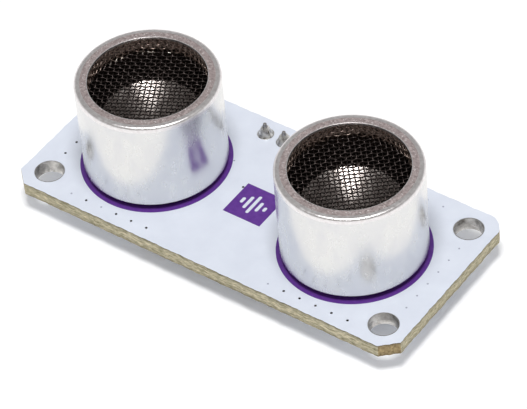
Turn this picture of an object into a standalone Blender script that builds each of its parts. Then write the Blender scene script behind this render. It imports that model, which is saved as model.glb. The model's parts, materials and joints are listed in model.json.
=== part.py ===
"""Ultrasonic distance sensor: two open-faced 40 kHz transducers on a small white circuit board.

Frame: metres, +Z up. The origin is on the table under the middle of the board, +X runs along the
board's length towards the transmitter and +Y towards the edge that carries the wiring socket.
The board lies flat, transducers up, standing on its four trimmed transducer pins and the socket strip.
"""

import math

import bmesh
import bpy
from mathutils import Matrix

MM = 0.001

# Board
BOARD_LENGTH = 50.0 * MM
BOARD_DEPTH = 22.4 * MM
BOARD_THICKNESS = 1.6 * MM
BOARD_CORNER_CUT = 1.7 * MM
SCREW_HOLE_RADIUS = 1.6 * MM
SCREW_HOLE_INSET = 3.0 * MM
STAND_HEIGHT = 2.3 * MM  # from the table to the board's underside

# Transducer can and its screen; heights in a transducer are measured from the board's top
CAN_SPACING = 26.2 * MM
CAN_SHIFT = -0.4 * MM  # the cans sit a little nearer the front edge than the back one
CAN_RADIUS = 8.0 * MM
CAN_HEIGHT = 12.0 * MM
CAN_WALL = 0.5 * MM
CAN_LIP = 0.35 * MM
CAN_EDGE_ROUND = 0.5 * MM
CAN_RING = 1.45 * MM  # from the can's outer side to its opening
CAN_FOOT_GAP = 0.7 * MM
SCREEN_DEPTH = 2.35 * MM
SCREEN_WALL = 0.25 * MM
SCREEN_FLANGE = 0.5 * MM
SCREEN_PITCH = 1.4 * MM
SCREEN_WIRE = 0.5 * MM
RECEIVER_SCREEN_TURN = math.radians(28)
TRANSMITTER_SCREEN_TURN = math.radians(41)

# Inside a transducer
BASE_THICKNESS = 2.2 * MM
BASE_SPIGOT_HEIGHT = 0.6 * MM
CUSHION_TO_PIN = 0.3 * MM
CUSHION_WALL = 1.0 * MM
CUSHION_HEIGHT = 1.35 * MM
CUSHION_SLOT = 1.2 * MM
PLATE_OVERHANG = 0.4 * MM  # past the cushion
PLATE_THICKNESS = 0.3 * MM
PIEZO_THICKNESS = 0.4 * MM
HORN_TO_CAN = 2.0 * MM  # from the horn's rim to the can's inner side
HORN_FLOOR_RADIUS = 2.0 * MM
HORN_HEIGHT = 2.0 * MM
HORN_WALL = 0.3 * MM
PIN_RADIUS = 0.5 * MM
PIN_SPACING = 10.0 * MM
PIN_TAIL = 0.8 * MM  # how far a pin stands up above the base
LEAD_RADIUS = 0.12 * MM

# Wiring socket
SOCKET_WAYS = 5
SOCKET_PITCH = 2.54 * MM
SOCKET_INSET = 2.2 * MM  # contact row to the board's back edge
SOCKET_DEPTH = 2.4 * MM
SOCKET_NOTCH = 0.35 * MM
CONTACT_RADIUS = 0.6 * MM
CONTACT_BORE = 0.36 * MM
CONTACT_TAIL_RADIUS = 0.3 * MM
CONTACT_TAIL = 1.6 * MM  # how far a contact's tail stands above the board
CONTACT_FLOOR = 0.5 * MM  # solid metal between a contact's bore and the board

# Solder
PIN_SOLDER_RADIUS = 1.1 * MM
PIN_SOLDER_HEIGHT = 1.0 * MM
CONTACT_SOLDER_RADIUS = 0.9 * MM
CONTACT_SOLDER_HEIGHT = 1.1 * MM
SOLDER_RIM = 0.05 * MM  # width of a joint's top edge

# Chips and small parts on the underside
CHIP_WIDTH = 3.9 * MM
CHIP_SPAN = 6.0 * MM
CHIP_HEIGHT = 1.6 * MM
CHIP_LEAD_PITCH = 1.27 * MM
CHIP_LEAD_WIDTH = 0.42 * MM
CHIP_LEAD_THICKNESS = 0.2 * MM
CHIP_LEAD_FOOT = 0.6 * MM
CHIP_END = 0.55 * MM  # chip body past its last lead
BROKEN_EDGE = 0.08 * MM
ROW_INSET = 2.6 * MM  # front row of small parts to the board's front edge
ROW_GAP = 0.9 * MM
CRYSTAL_SIZE = (3.2 * MM, 2.5 * MM, 0.8 * MM)
TANTALUM_SIZE = (3.2 * MM, 1.6 * MM, 1.6 * MM)
CAPACITOR_SIZE = (1.25 * MM, 2.0 * MM, 0.9 * MM)
RESISTOR_SIZE = (0.8 * MM, 1.6 * MM, 0.45 * MM)
TRANSISTOR_SIZE = (2.9 * MM, 1.3 * MM, 1.0 * MM)
TRANSISTOR_SPAN = 2.4 * MM

# Fits
SEAT_GAP = 0.05 * MM  # between pieces that touch
HOLE_CLEARANCE = 0.15 * MM  # round a pin or tail in the board
MERGE = 0.001 * MM

# Facets
CAN_STEPS = 48
DISC_STEPS = 32
SMALL_STEPS = 12
HOLE_POINTS = 32
ARC_POINTS = 4

# Derived places
BOARD_BOTTOM = STAND_HEIGHT
BOARD_TOP = BOARD_BOTTOM + BOARD_THICKNESS
CAN_X = CAN_SPACING / 2
SOCKET_Y = BOARD_DEPTH / 2 - SOCKET_INSET
SOCKET_LENGTH = SOCKET_WAYS * SOCKET_PITCH
PIN_Y = PIN_SPACING / 2
CAN_INNER_RADIUS = CAN_RADIUS - CAN_WALL
CAN_OPENING_RADIUS = CAN_RADIUS - CAN_RING
BASE_RADIUS = CAN_INNER_RADIUS - SEAT_GAP
CUSHION_OUTER_RADIUS = PIN_Y - PIN_RADIUS - CUSHION_TO_PIN
CUSHION_INNER_RADIUS = CUSHION_OUTER_RADIUS - CUSHION_WALL
PLATE_RADIUS = CUSHION_OUTER_RADIUS + PLATE_OVERHANG
HORN_RIM_RADIUS = CAN_INNER_RADIUS - HORN_TO_CAN
BASE_TOP = SEAT_GAP + BASE_THICKNESS
CUSHION_BOTTOM = BASE_TOP + BASE_SPIGOT_HEIGHT + SEAT_GAP
PLATE_BOTTOM = CUSHION_BOTTOM + CUSHION_HEIGHT + SEAT_GAP
PIEZO_RADIUS = CUSHION_INNER_RADIUS - 2 * SEAT_GAP
PIEZO_TOP = PLATE_BOTTOM - SEAT_GAP
PIEZO_BOTTOM = PIEZO_TOP - PIEZO_THICKNESS
HORN_BOTTOM = PLATE_BOTTOM + PLATE_THICKNESS + SEAT_GAP
SCREEN_TOP = CAN_HEIGHT - CAN_LIP - SEAT_GAP
SCREEN_FLOOR = CAN_HEIGHT - SCREEN_DEPTH
PIN_TOP = BASE_TOP + PIN_TAIL

BOARD_WHITE = ("board_white", (0.80, 0.83, 0.90), 0.0, 0.35)
ALUMINIUM = ("aluminium", (0.82, 0.82, 0.82), 1.0, 0.35)
SCREEN_BLACK = ("screen_black", (0.03, 0.025, 0.025), 0.6, 0.45)
PLASTIC_BLACK = ("plastic_black", (0.02, 0.02, 0.022), 0.0, 0.5)
SILICONE = ("silicone", (0.75, 0.75, 0.72), 0.0, 0.6)
BRASS = ("brass", (0.75, 0.58, 0.28), 1.0, 0.3)
CERAMIC = ("piezo_ceramic", (0.70, 0.66, 0.55), 0.0, 0.5)
TINNED = ("tinned", (0.72, 0.71, 0.68), 1.0, 0.3)
SOLDER = ("solder", (0.60, 0.60, 0.58), 1.0, 0.25)
GOLD = ("gold_contact", (0.83, 0.65, 0.30), 1.0, 0.25)
CAPACITOR_TAN = ("capacitor_tan", (0.55, 0.42, 0.27), 0.0, 0.45)
TANTALUM_YELLOW = ("tantalum_yellow", (0.80, 0.58, 0.12), 0.0, 0.4)
RESISTOR_BLACK = ("resistor_black", (0.05, 0.05, 0.055), 0.0, 0.4)


def make_collection(name):
    collection = bpy.data.collections.new(name)
    bpy.context.scene.collection.children.link(collection)
    return collection


for leftover in list(bpy.data.objects):
    bpy.data.objects.remove(leftover, do_unlink=True)
PARTS = make_collection("ultrasonic_distance_sensor")
CUTTERS = make_collection("cutters")


def material(finish):
    """The material of a finish, made the first time it is asked for."""
    name, colour, metallic, roughness = finish
    if name in bpy.data.materials:
        return bpy.data.materials[name]
    made = bpy.data.materials.new(name)
    made.use_nodes = True
    shader = made.node_tree.nodes["Principled BSDF"]
    shader.inputs["Base Color"].default_value = (*colour, 1.0)
    shader.inputs["Metallic"].default_value = metallic
    shader.inputs["Roughness"].default_value = roughness
    return made


def put(name, data, finish, at=(0, 0, 0), turn=(0, 0, 0), parent=None):
    """A visible piece: data in a named object with its material and place."""
    piece = bpy.data.objects.new(name, data)
    piece.location = at
    piece.rotation_euler = turn
    piece.parent = parent
    data.materials.append(material(finish))
    PARTS.objects.link(piece)
    return piece


def holder(name, at, turn=(0, 0, 0)):
    """An empty that carries an assembly."""
    empty = bpy.data.objects.new(name, None)
    empty.location = at
    empty.rotation_euler = turn
    PARTS.objects.link(empty)
    return empty


def mesh_of(name, build):
    """A mesh filled in by build(bm)."""
    mesh = bpy.data.meshes.new(name)
    bm = bmesh.new()
    build(bm)
    bm.to_mesh(mesh)
    bm.free()
    return mesh


def box_mesh(name, size, centre=(0, 0, 0)):
    def build(bm):
        bmesh.ops.create_cube(bm, size=1)
        bmesh.ops.scale(bm, vec=size, verts=bm.verts)
        bmesh.ops.translate(bm, vec=centre, verts=bm.verts)

    return mesh_of(name, build)


def rod_mesh(name, radius, low, high, steps=SMALL_STEPS):
    def build(bm):
        bmesh.ops.create_cone(
            bm, cap_ends=True, segments=steps, radius1=radius, radius2=radius, depth=high - low
        )
        half_step = Matrix.Rotation(math.pi / steps, 3, "Z")
        bmesh.ops.rotate(bm, cent=(0, 0, 0), matrix=half_step, verts=bm.verts)
        bmesh.ops.translate(bm, vec=(0, 0, (low + high) / 2), verts=bm.verts)

    return mesh_of(name, build)


def turned(name, profile, finish, steps, closed=False, **place):
    """A piece turned about Z. The profile is (radius, height) pairs whose outer side runs downwards."""
    count = len(profile)
    edges = [(i, i + 1) for i in range(count - 1)]
    if closed:
        edges.append((count - 1, 0))
    mesh = bpy.data.meshes.new(name)
    mesh.from_pydata([(radius, 0, height) for radius, height in profile], edges, [])
    piece = put(name, mesh, finish, **place)
    screw = piece.modifiers.new("turn", "SCREW")
    screw.axis = "Z"
    screw.angle = 2 * math.pi
    screw.steps = steps
    screw.render_steps = steps
    screw.use_merge_vertices = True
    screw.merge_threshold = MERGE
    screw.use_smooth_shade = True
    return piece


def circle(centre, radius, count):
    """Points round a circle, turned half a step so that flats and not corners lie on the axes."""
    angles = [(i + 0.5) * 2 * math.pi / count for i in range(count)]
    return [(centre[0] + radius * math.cos(a), centre[1] + radius * math.sin(a)) for a in angles]


def flat_curve(name, outlines, thickness):
    """A flat sheet with its mid-plane at z 0: the first outline is its edge and the others are holes."""
    curve = bpy.data.curves.new(name, "CURVE")
    curve.dimensions = "2D"
    curve.fill_mode = "BOTH"
    curve.extrude = thickness / 2
    for outline in outlines:
        spline = curve.splines.new("POLY")
        spline.points.add(len(outline) - 1)
        for point, (x, y) in zip(spline.points, outline):
            point.co = (x, y, 0, 1)
        spline.use_cyclic_u = True
    return curve


def cutter(name, mesh, parent=None, at=(0, 0, 0)):
    """A hidden helper for a Boolean."""
    helper = bpy.data.objects.new(name, mesh)
    helper.parent = parent
    helper.location = at
    helper.hide_render = True
    helper.display_type = "WIRE"
    CUTTERS.objects.link(helper)
    return helper


def boolean(piece, other, operation="DIFFERENCE"):
    step = piece.modifiers.new(operation.lower(), "BOOLEAN")
    step.object = other
    step.operation = operation
    step.solver = "EXACT"


def socket_places():
    first = -(SOCKET_WAYS - 1) * SOCKET_PITCH / 2
    return [(first + i * SOCKET_PITCH, SOCKET_Y) for i in range(SOCKET_WAYS)]


def make_board():
    """The laminate, with its corner cuts, screw holes, contact holes and transducer pin holes."""
    x, y, cut = BOARD_LENGTH / 2, BOARD_DEPTH / 2, BOARD_CORNER_CUT
    edge = [
        (-x + cut, -y),
        (x - cut, -y),
        (x, -y + cut),
        (x, y - cut),
        (x - cut, y),
        (-x + cut, y),
        (-x, y - cut),
        (-x, -y + cut),
    ]
    outlines = [edge]
    screw_x, screw_y = x - SCREW_HOLE_INSET, y - SCREW_HOLE_INSET
    for side in (-1, 1):
        for end in (-1, 1):
            outlines.append(circle((side * screw_x, end * screw_y), SCREW_HOLE_RADIUS, HOLE_POINTS))
            pin = (side * CAN_X, CAN_SHIFT + end * PIN_Y)
            outlines.append(circle(pin, PIN_RADIUS + HOLE_CLEARANCE, SMALL_STEPS))
    for place in socket_places():
        outlines.append(circle(place, CONTACT_TAIL_RADIUS + HOLE_CLEARANCE, SMALL_STEPS))
    curve = flat_curve("circuit_board", outlines, BOARD_THICKNESS)
    put("circuit_board", curve, BOARD_WHITE, at=(0, 0, BOARD_BOTTOM + BOARD_THICKNESS / 2))


def make_can(side, carrier):
    """The drawn aluminium can: a thin wall that turns in over the top to a round opening."""
    profile = [(CAN_OPENING_RADIUS, CAN_HEIGHT)]
    for i in range(ARC_POINTS + 1):
        angle = math.pi / 2 * (1 - i / ARC_POINTS)
        profile.append(
            (
                CAN_RADIUS - CAN_EDGE_ROUND * (1 - math.cos(angle)),
                CAN_HEIGHT - CAN_EDGE_ROUND * (1 - math.sin(angle)),
            )
        )
    profile += [
        (CAN_RADIUS, CAN_FOOT_GAP),
        (CAN_INNER_RADIUS, CAN_FOOT_GAP),
        (CAN_INNER_RADIUS, CAN_HEIGHT - CAN_LIP),
        (CAN_OPENING_RADIUS, CAN_HEIGHT - CAN_LIP),
    ]
    turned(f"{side}_can", profile, ALUMINIUM, CAN_STEPS, closed=True, parent=carrier)


def make_screen(side, carrier, turn):
    """The protective screen: a shallow cup with a flange under the can's lip and an open lattice floor."""
    inner = CAN_OPENING_RADIUS
    outer = inner + SCREEN_WALL
    low = SCREEN_FLOOR - SCREEN_WALL
    profile = [
        (0, SCREEN_FLOOR),
        (inner, SCREEN_FLOOR),
        (inner, SCREEN_TOP),
        (outer + SCREEN_FLANGE, SCREEN_TOP),
        (outer + SCREEN_FLANGE, SCREEN_TOP - SCREEN_WALL),
        (outer, SCREEN_TOP - SCREEN_WALL),
        (outer, low),
        (0, low),
    ]
    screen = turned(f"{side}_screen", profile, SCREEN_BLACK, CAN_STEPS, parent=carrier)
    hole = SCREEN_PITCH - SCREEN_WIRE
    reach = inner - SCREEN_WIRE / 2
    count = int(inner / SCREEN_PITCH)
    steps = [i * SCREEN_PITCH for i in range(-count, count + 1)]

    def build(bm):
        for x in steps:
            for y in steps:
                if math.hypot(abs(x) + hole / 2, abs(y) + hole / 2) < reach:
                    punch = bmesh.ops.create_cube(bm, size=1)["verts"]
                    bmesh.ops.scale(bm, vec=(hole, hole, 4 * SCREEN_WALL), verts=punch)
                    bmesh.ops.translate(bm, vec=(x, y, SCREEN_FLOOR), verts=punch)

    punches = cutter(f"{side}_screen_punches", mesh_of(f"{side}_screen_punches", build), carrier)
    punches.rotation_euler = (0, 0, turn)
    boolean(screen, punches)


def make_base(side, carrier):
    """The plastic base that closes the can, with a spigot ring for the cushion and two pin holes."""
    profile = [
        (0, BASE_TOP),
        (CUSHION_INNER_RADIUS, BASE_TOP),
        (CUSHION_INNER_RADIUS, BASE_TOP + BASE_SPIGOT_HEIGHT),
        (CUSHION_OUTER_RADIUS, BASE_TOP + BASE_SPIGOT_HEIGHT),
        (CUSHION_OUTER_RADIUS, BASE_TOP),
        (BASE_RADIUS, BASE_TOP),
        (BASE_RADIUS, SEAT_GAP),
        (0, SEAT_GAP),
    ]
    base = turned(f"{side}_base", profile, PLASTIC_BLACK, DISC_STEPS, parent=carrier)
    overrun = BASE_THICKNESS / 2
    for where, end in (("front", -1), ("back", 1)):
        name = f"{side}_base_hole_{where}"
        drill = rod_mesh(name, PIN_RADIUS + SEAT_GAP, -overrun, BASE_TOP + overrun)
        boolean(base, cutter(name, drill, carrier, at=(0, end * PIN_Y, 0)))


def make_sounder(side, carrier):
    """What vibrates: the ceramic disc under its metal plate, the horn on top and the cushion below."""
    ring = [
        (CUSHION_OUTER_RADIUS, CUSHION_BOTTOM + CUSHION_HEIGHT),
        (CUSHION_OUTER_RADIUS, CUSHION_BOTTOM),
        (CUSHION_INNER_RADIUS, CUSHION_BOTTOM),
        (CUSHION_INNER_RADIUS, CUSHION_BOTTOM + CUSHION_HEIGHT),
    ]
    cushion = turned(f"{side}_cushion", ring, SILICONE, DISC_STEPS, closed=True, parent=carrier)
    slot_size = (CUSHION_SLOT, CUSHION_OUTER_RADIUS, 2 * CUSHION_HEIGHT)
    slot_centre = (0, CUSHION_OUTER_RADIUS, CUSHION_BOTTOM + CUSHION_HEIGHT / 2)
    slot = box_mesh(f"{side}_cushion_slot", slot_size, slot_centre)
    boolean(cushion, cutter(f"{side}_cushion_slot", slot, carrier))

    piezo = rod_mesh(f"{side}_piezo_disc", PIEZO_RADIUS, PIEZO_BOTTOM, PIEZO_TOP, DISC_STEPS)
    put(f"{side}_piezo_disc", piezo, CERAMIC, parent=carrier)
    plate_top = PLATE_BOTTOM + PLATE_THICKNESS
    plate = rod_mesh(f"{side}_vibrating_plate", PLATE_RADIUS, PLATE_BOTTOM, plate_top, DISC_STEPS)
    put(f"{side}_vibrating_plate", plate, BRASS, parent=carrier)

    floor, rim = HORN_BOTTOM + HORN_WALL, HORN_BOTTOM + HORN_HEIGHT
    profile = [
        (0, floor),
        (HORN_FLOOR_RADIUS, floor),
        (HORN_RIM_RADIUS - HORN_WALL / 2, rim),
        (HORN_RIM_RADIUS, rim - HORN_WALL / 2),
        (HORN_FLOOR_RADIUS + HORN_WALL / 2, HORN_BOTTOM),
        (0, HORN_BOTTOM),
    ]
    turned(f"{side}_horn", profile, ALUMINIUM, DISC_STEPS, parent=carrier)


def bezier(start, handle, end, count=9):
    """Points on a smooth arc from start to end that leans towards handle."""
    points = []
    for i in range(count):
        t = i / (count - 1)
        blend = ((1 - t) ** 2, 2 * t * (1 - t), t**2)
        points.append(
            tuple(sum(w * p[k] for w, p in zip(blend, (start, handle, end))) for k in range(3))
        )
    return points


def wire(name, points, radius, finish, parent):
    curve = bpy.data.curves.new(name, "CURVE")
    curve.dimensions = "3D"
    curve.bevel_depth = radius
    curve.bevel_resolution = 2
    curve.use_fill_caps = True
    spline = curve.splines.new("POLY")
    spline.points.add(len(points) - 1)
    for point, place in zip(spline.points, points):
        point.co = (*place, 1)
    put(name, curve, finish, parent=parent)


def solder_profile(bore, foot, height, points=4):
    """A hollow-sided cone of solder round a bore, standing just above z 0."""
    inner = bore + SEAT_GAP
    top = inner + SOLDER_RIM
    profile = []
    for i in range(points + 1):
        t = i / points
        profile.append((top + (foot - top) * t**2, SEAT_GAP + height * (1 - t)))
    profile += [(inner, SEAT_GAP), (inner, SEAT_GAP + height)]
    return profile


def make_terminals(side, carrier):
    """The two pins, their solder under the board and the fine wires up to the plate and the disc."""
    below = BOARD_THICKNESS + STAND_HEIGHT
    for where, end in (("front", -1), ("back", 1)):
        place = (0, end * PIN_Y, 0)
        pin = rod_mesh(f"{side}_pin_{where}", PIN_RADIUS, -below, PIN_TOP)
        put(f"{side}_pin_{where}", pin, TINNED, at=place, parent=carrier)
        turned(
            f"{side}_solder_{where}",
            solder_profile(PIN_RADIUS, PIN_SOLDER_RADIUS, PIN_SOLDER_HEIGHT),
            SOLDER,
            SMALL_STEPS,
            closed=True,
            at=(0, end * PIN_Y, -BOARD_THICKNESS),
            turn=(math.pi, 0, 0),
            parent=carrier,
        )
    clear = LEAD_RADIUS + SEAT_GAP
    pin_top = PIN_TOP + clear
    plate_end = (0, -PLATE_RADIUS + 2 * LEAD_RADIUS, PLATE_BOTTOM - clear)
    front = bezier((0, -PIN_Y, pin_top), (0, -PIN_Y, plate_end[2]), plate_end)
    wire(f"{side}_lead_to_plate", front, LEAD_RADIUS, TINNED, carrier)
    disc_end = (0, PIEZO_RADIUS / 2, PIEZO_BOTTOM - clear)
    back = bezier((0, PIN_Y, pin_top), (0, PIEZO_RADIUS, pin_top), disc_end)
    wire(f"{side}_lead_to_disc", back, LEAD_RADIUS, TINNED, carrier)


def make_transducer(side, x, screen_turn):
    carrier = holder(f"{side}_assembly", (x, CAN_SHIFT, BOARD_TOP))
    make_can(side, carrier)
    make_screen(side, carrier, screen_turn)
    make_base(side, carrier)
    make_sounder(side, carrier)
    make_terminals(side, carrier)


def make_socket():
    """The low five-way socket strip under the back edge, its turned contacts and their solder."""
    half_length, half_depth = SOCKET_LENGTH / 2, SOCKET_DEPTH / 2
    front, back = [], []
    for i in range(SOCKET_WAYS):
        left = -half_length + i * SOCKET_PITCH
        right = left + SOCKET_PITCH
        front += [
            (left, -half_depth + SOCKET_NOTCH),
            (left + SOCKET_NOTCH, -half_depth),
            (right - SOCKET_NOTCH, -half_depth),
        ]
        back += [
            (left, half_depth - SOCKET_NOTCH),
            (left + SOCKET_NOTCH, half_depth),
            (right - SOCKET_NOTCH, half_depth),
        ]
    front.append((half_length, -half_depth + SOCKET_NOTCH))
    back.append((half_length, half_depth - SOCKET_NOTCH))
    outlines = [front + back[::-1]]
    for x, _ in socket_places():
        outlines.append(circle((x, 0), CONTACT_RADIUS + SEAT_GAP, SMALL_STEPS))
    height = STAND_HEIGHT - SEAT_GAP
    strip = flat_curve("socket_strip", outlines, height)
    put("socket_strip", strip, PLASTIC_BLACK, at=(0, SOCKET_Y, height / 2))

    top = height - SEAT_GAP
    contact = [
        (0, BOARD_TOP + CONTACT_TAIL),
        (CONTACT_TAIL_RADIUS, BOARD_TOP + CONTACT_TAIL),
        (CONTACT_TAIL_RADIUS, top),
        (CONTACT_RADIUS, top),
        (CONTACT_RADIUS, SEAT_GAP),
        (CONTACT_BORE, SEAT_GAP),
        (CONTACT_BORE, top - CONTACT_FLOOR),
        (0, top - CONTACT_FLOOR),
    ]
    joint = solder_profile(CONTACT_TAIL_RADIUS, CONTACT_SOLDER_RADIUS, CONTACT_SOLDER_HEIGHT)
    for i, (x, y) in enumerate(socket_places(), start=1):
        turned(f"socket_contact_{i}", contact, GOLD, SMALL_STEPS, at=(x, y, 0))
        at = (x, y, BOARD_TOP)
        turned(f"socket_solder_{i}", joint, SOLDER, SMALL_STEPS, closed=True, at=at)


def leads_mesh(name, places, span, body_width, body_middle):
    """Gull-wing leads as one mesh. Each place is (x, side) and the feet stand on z 0."""
    thick, half = CHIP_LEAD_THICKNESS, CHIP_LEAD_WIDTH / 2
    knee = span / 2 - CHIP_LEAD_FOOT
    inside = body_width / 2 - thick
    outline = [
        (inside, body_middle - thick / 2),
        (knee - thick, body_middle - thick / 2),
        (knee, 0),
        (span / 2, 0),
        (span / 2, thick),
        (knee + thick, thick),
        (knee, body_middle + thick / 2),
        (inside, body_middle + thick / 2),
    ]

    def build(bm):
        for x, side in places:
            verts = [bm.verts.new((x - side * half, side * y, z)) for y, z in outline]
            face = bm.faces.new(verts)
            swept = bmesh.ops.extrude_face_region(bm, geom=[face])["geom"]
            moved = [item for item in swept if isinstance(item, bmesh.types.BMVert)]
            bmesh.ops.translate(bm, vec=(side * 2 * half, 0, 0), verts=moved)
        bmesh.ops.recalc_face_normals(bm, faces=bm.faces)

    return mesh_of(name, build)


def under_board(name, at, quarter_turn=False):
    """A carrier on the board's underside. Its own +Z points down, away from the board."""
    turn = (math.pi, 0, math.pi / 2 if quarter_turn else 0)
    return holder(name, (at[0], at[1], BOARD_BOTTOM - SEAT_GAP), turn)


def block(name, size, finish, carrier, lift=0):
    """A box-shaped body standing on the carrier, with broken edges."""
    centre = (0, 0, lift + (size[2] - lift) / 2)
    mesh = box_mesh(name, (size[0], size[1], size[2] - lift), centre)
    piece = put(name, mesh, finish, parent=carrier)
    chamfer = piece.modifiers.new("broken edges", "BEVEL")
    chamfer.width = BROKEN_EDGE
    chamfer.segments = 1
    return piece


def make_chip(name, leads, at):
    """A chip with gull-wing leads on its two long sides. leads is the number on one side."""
    carrier = under_board(f"{name}_place", at)
    length = (leads - 1) * CHIP_LEAD_PITCH + 2 * CHIP_END
    lift = CHIP_LEAD_THICKNESS / 2
    body = block(name, (length, CHIP_WIDTH, CHIP_HEIGHT), PLASTIC_BLACK, carrier, lift)
    first = -(leads - 1) * CHIP_LEAD_PITCH / 2
    places = [(first + i * CHIP_LEAD_PITCH, side) for i in range(leads) for side in (-1, 1)]
    middle = (CHIP_HEIGHT + lift) / 2
    legs = leads_mesh(f"{name}_leads", places, CHIP_SPAN, CHIP_WIDTH, middle)
    boolean(body, cutter(f"{name}_leads", legs, carrier), "UNION")


def make_transistor(name, at):
    carrier = under_board(f"{name}_place", at)
    lift = CHIP_LEAD_THICKNESS / 2
    body = block(name, TRANSISTOR_SIZE, PLASTIC_BLACK, carrier, lift)
    reach = TRANSISTOR_SIZE[0] / 2 - CHIP_LEAD_WIDTH
    places = [(-reach, 1), (reach, 1), (0, -1)]
    middle = (TRANSISTOR_SIZE[2] + lift) / 2
    legs = leads_mesh(f"{name}_leads", places, TRANSISTOR_SPAN, TRANSISTOR_SIZE[1], middle)
    boolean(body, cutter(f"{name}_leads", legs, carrier), "UNION")


def make_row(entries, start, direction, y):
    """Small parts in a row from start, each one's width and a gap after the last."""
    edge = start
    for name, size, finish in entries:
        x = edge + direction * size[0] / 2
        block(name, size, finish, under_board(f"{name}_place", (x, y)))
        edge += direction * (size[0] + ROW_GAP)


def make_underside_parts():
    """The chips that drive, listen and time, and the small parts round them."""
    make_chip("transmit_driver", 8, (CAN_X, CAN_SHIFT))
    make_chip("receive_amplifier", 7, (-CAN_X, CAN_SHIFT))
    make_chip("microcontroller", 7, (0, CAN_SHIFT))

    chip_edge = CAN_SHIFT + CHIP_SPAN / 2
    strip_edge = SOCKET_Y - SOCKET_DEPTH / 2
    crystal = under_board("crystal_place", (0, (chip_edge + strip_edge) / 2))
    block("crystal", CRYSTAL_SIZE, TINNED, crystal)

    strip_end = SOCKET_LENGTH / 2 + ROW_GAP
    tantalum = ("supply_capacitor", TANTALUM_SIZE, TANTALUM_YELLOW)
    driver_capacitors = [(f"driver_capacitor_{i}", CAPACITOR_SIZE, CAPACITOR_TAN) for i in (1, 2)]
    make_row([tantalum, *driver_capacitors], strip_end, 1, SOCKET_Y)

    transistor_x = -strip_end - TRANSISTOR_SIZE[0] / 2
    make_transistor("threshold_transistor", (transistor_x, SOCKET_Y))
    after = transistor_x - TRANSISTOR_SIZE[0] / 2 - ROW_GAP
    filter_capacitors = [(f"filter_capacitor_{i}", CAPACITOR_SIZE, CAPACITOR_TAN) for i in (1, 2)]
    make_row(filter_capacitors, after, -1, SOCKET_Y)

    bypass = [(f"bypass_capacitor_{i}", CAPACITOR_SIZE, CAPACITOR_TAN) for i in (1, 2)]
    resistors = [(f"resistor_{i}", RESISTOR_SIZE, RESISTOR_BLACK) for i in range(1, 9)]
    front_row = [bypass[0], *resistors, bypass[1]]
    width = sum(size[0] for _, size, _ in front_row) + ROW_GAP * (len(front_row) - 1)
    make_row(front_row, -width / 2, 1, -BOARD_DEPTH / 2 + ROW_INSET)


make_board()
make_transducer("transmitter", CAN_X, TRANSMITTER_SCREEN_TURN)
make_transducer("receiver", -CAN_X, RECEIVER_SCREEN_TURN)
make_socket()
make_underside_parts()
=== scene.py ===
# %% [markdown]
# # An ultrasonic distance sensor, built for looks
# Two open-faced metal cans stand on a small white circuit board. One can sends a click of sound that is too
# high to hear and the other one listens for its echo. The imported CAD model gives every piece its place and
# size. This lesson dresses that frame: each step says what a piece is on the real sensor, how it could be
# made in Blender, and why one way was chosen.

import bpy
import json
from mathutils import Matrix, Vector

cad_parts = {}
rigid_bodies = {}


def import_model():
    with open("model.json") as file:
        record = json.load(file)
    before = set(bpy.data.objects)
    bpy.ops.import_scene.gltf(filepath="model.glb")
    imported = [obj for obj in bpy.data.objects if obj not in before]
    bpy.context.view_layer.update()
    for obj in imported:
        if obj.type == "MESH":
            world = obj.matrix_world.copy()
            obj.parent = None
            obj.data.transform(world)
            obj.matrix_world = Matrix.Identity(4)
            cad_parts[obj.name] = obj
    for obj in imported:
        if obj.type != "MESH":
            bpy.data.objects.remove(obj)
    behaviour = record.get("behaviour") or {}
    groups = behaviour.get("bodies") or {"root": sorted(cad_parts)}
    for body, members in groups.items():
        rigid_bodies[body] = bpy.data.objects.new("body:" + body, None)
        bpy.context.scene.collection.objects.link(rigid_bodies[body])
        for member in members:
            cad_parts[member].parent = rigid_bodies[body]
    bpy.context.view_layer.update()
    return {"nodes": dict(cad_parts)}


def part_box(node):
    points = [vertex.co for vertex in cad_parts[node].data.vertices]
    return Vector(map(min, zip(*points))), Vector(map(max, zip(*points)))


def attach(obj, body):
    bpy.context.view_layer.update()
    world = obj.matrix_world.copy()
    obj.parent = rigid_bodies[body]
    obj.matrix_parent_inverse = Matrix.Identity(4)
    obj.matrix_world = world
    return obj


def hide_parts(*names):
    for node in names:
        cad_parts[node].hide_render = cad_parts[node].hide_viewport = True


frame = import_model()
print("nodes in the frame:", len(frame["nodes"]))

# %% [markdown]
# ## Measures that the rest hangs on
# The board, the cans and the socket are all read from the frame, so this script never disagrees with the CAD
# model. Blender works in metres here, and the sensor is 50 mm long, so sizes are written in millimetres and
# multiplied by MM.

# %% Read the main places
import json
import math

import bmesh
import bpy
import numpy as np
from mathutils import Matrix, Vector

MM = 0.001
SIDES = ("transmitter", "receiver")
BOARD_LOW, BOARD_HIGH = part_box("circuit_board")
BOARD_TOP, BOARD_BOTTOM = BOARD_HIGH.z, BOARD_LOW.z


def middle(node):
    """The middle of a CAD node's box."""
    low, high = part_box(node)
    return (low + high) / 2


def above_board(node):
    """A node's lowest and highest point, measured from the board's top."""
    low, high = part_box(node)
    return low.z - BOARD_TOP, high.z - BOARD_TOP


def radius_of(node):
    low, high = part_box(node)
    return (high.x - low.x) / 2


AXIS = {side: Vector((*middle(f"{side}_can").xy, BOARD_TOP)) for side in SIDES}
CAN_FOOT, CAN_TOP = above_board("receiver_can")
CAN_RADIUS = radius_of("receiver_can")
print("board", (BOARD_HIGH - BOARD_LOW) / MM)
print(f"can radius {CAN_RADIUS / MM:.2f} mm, can top {CAN_TOP / MM:.2f} mm")

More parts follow.
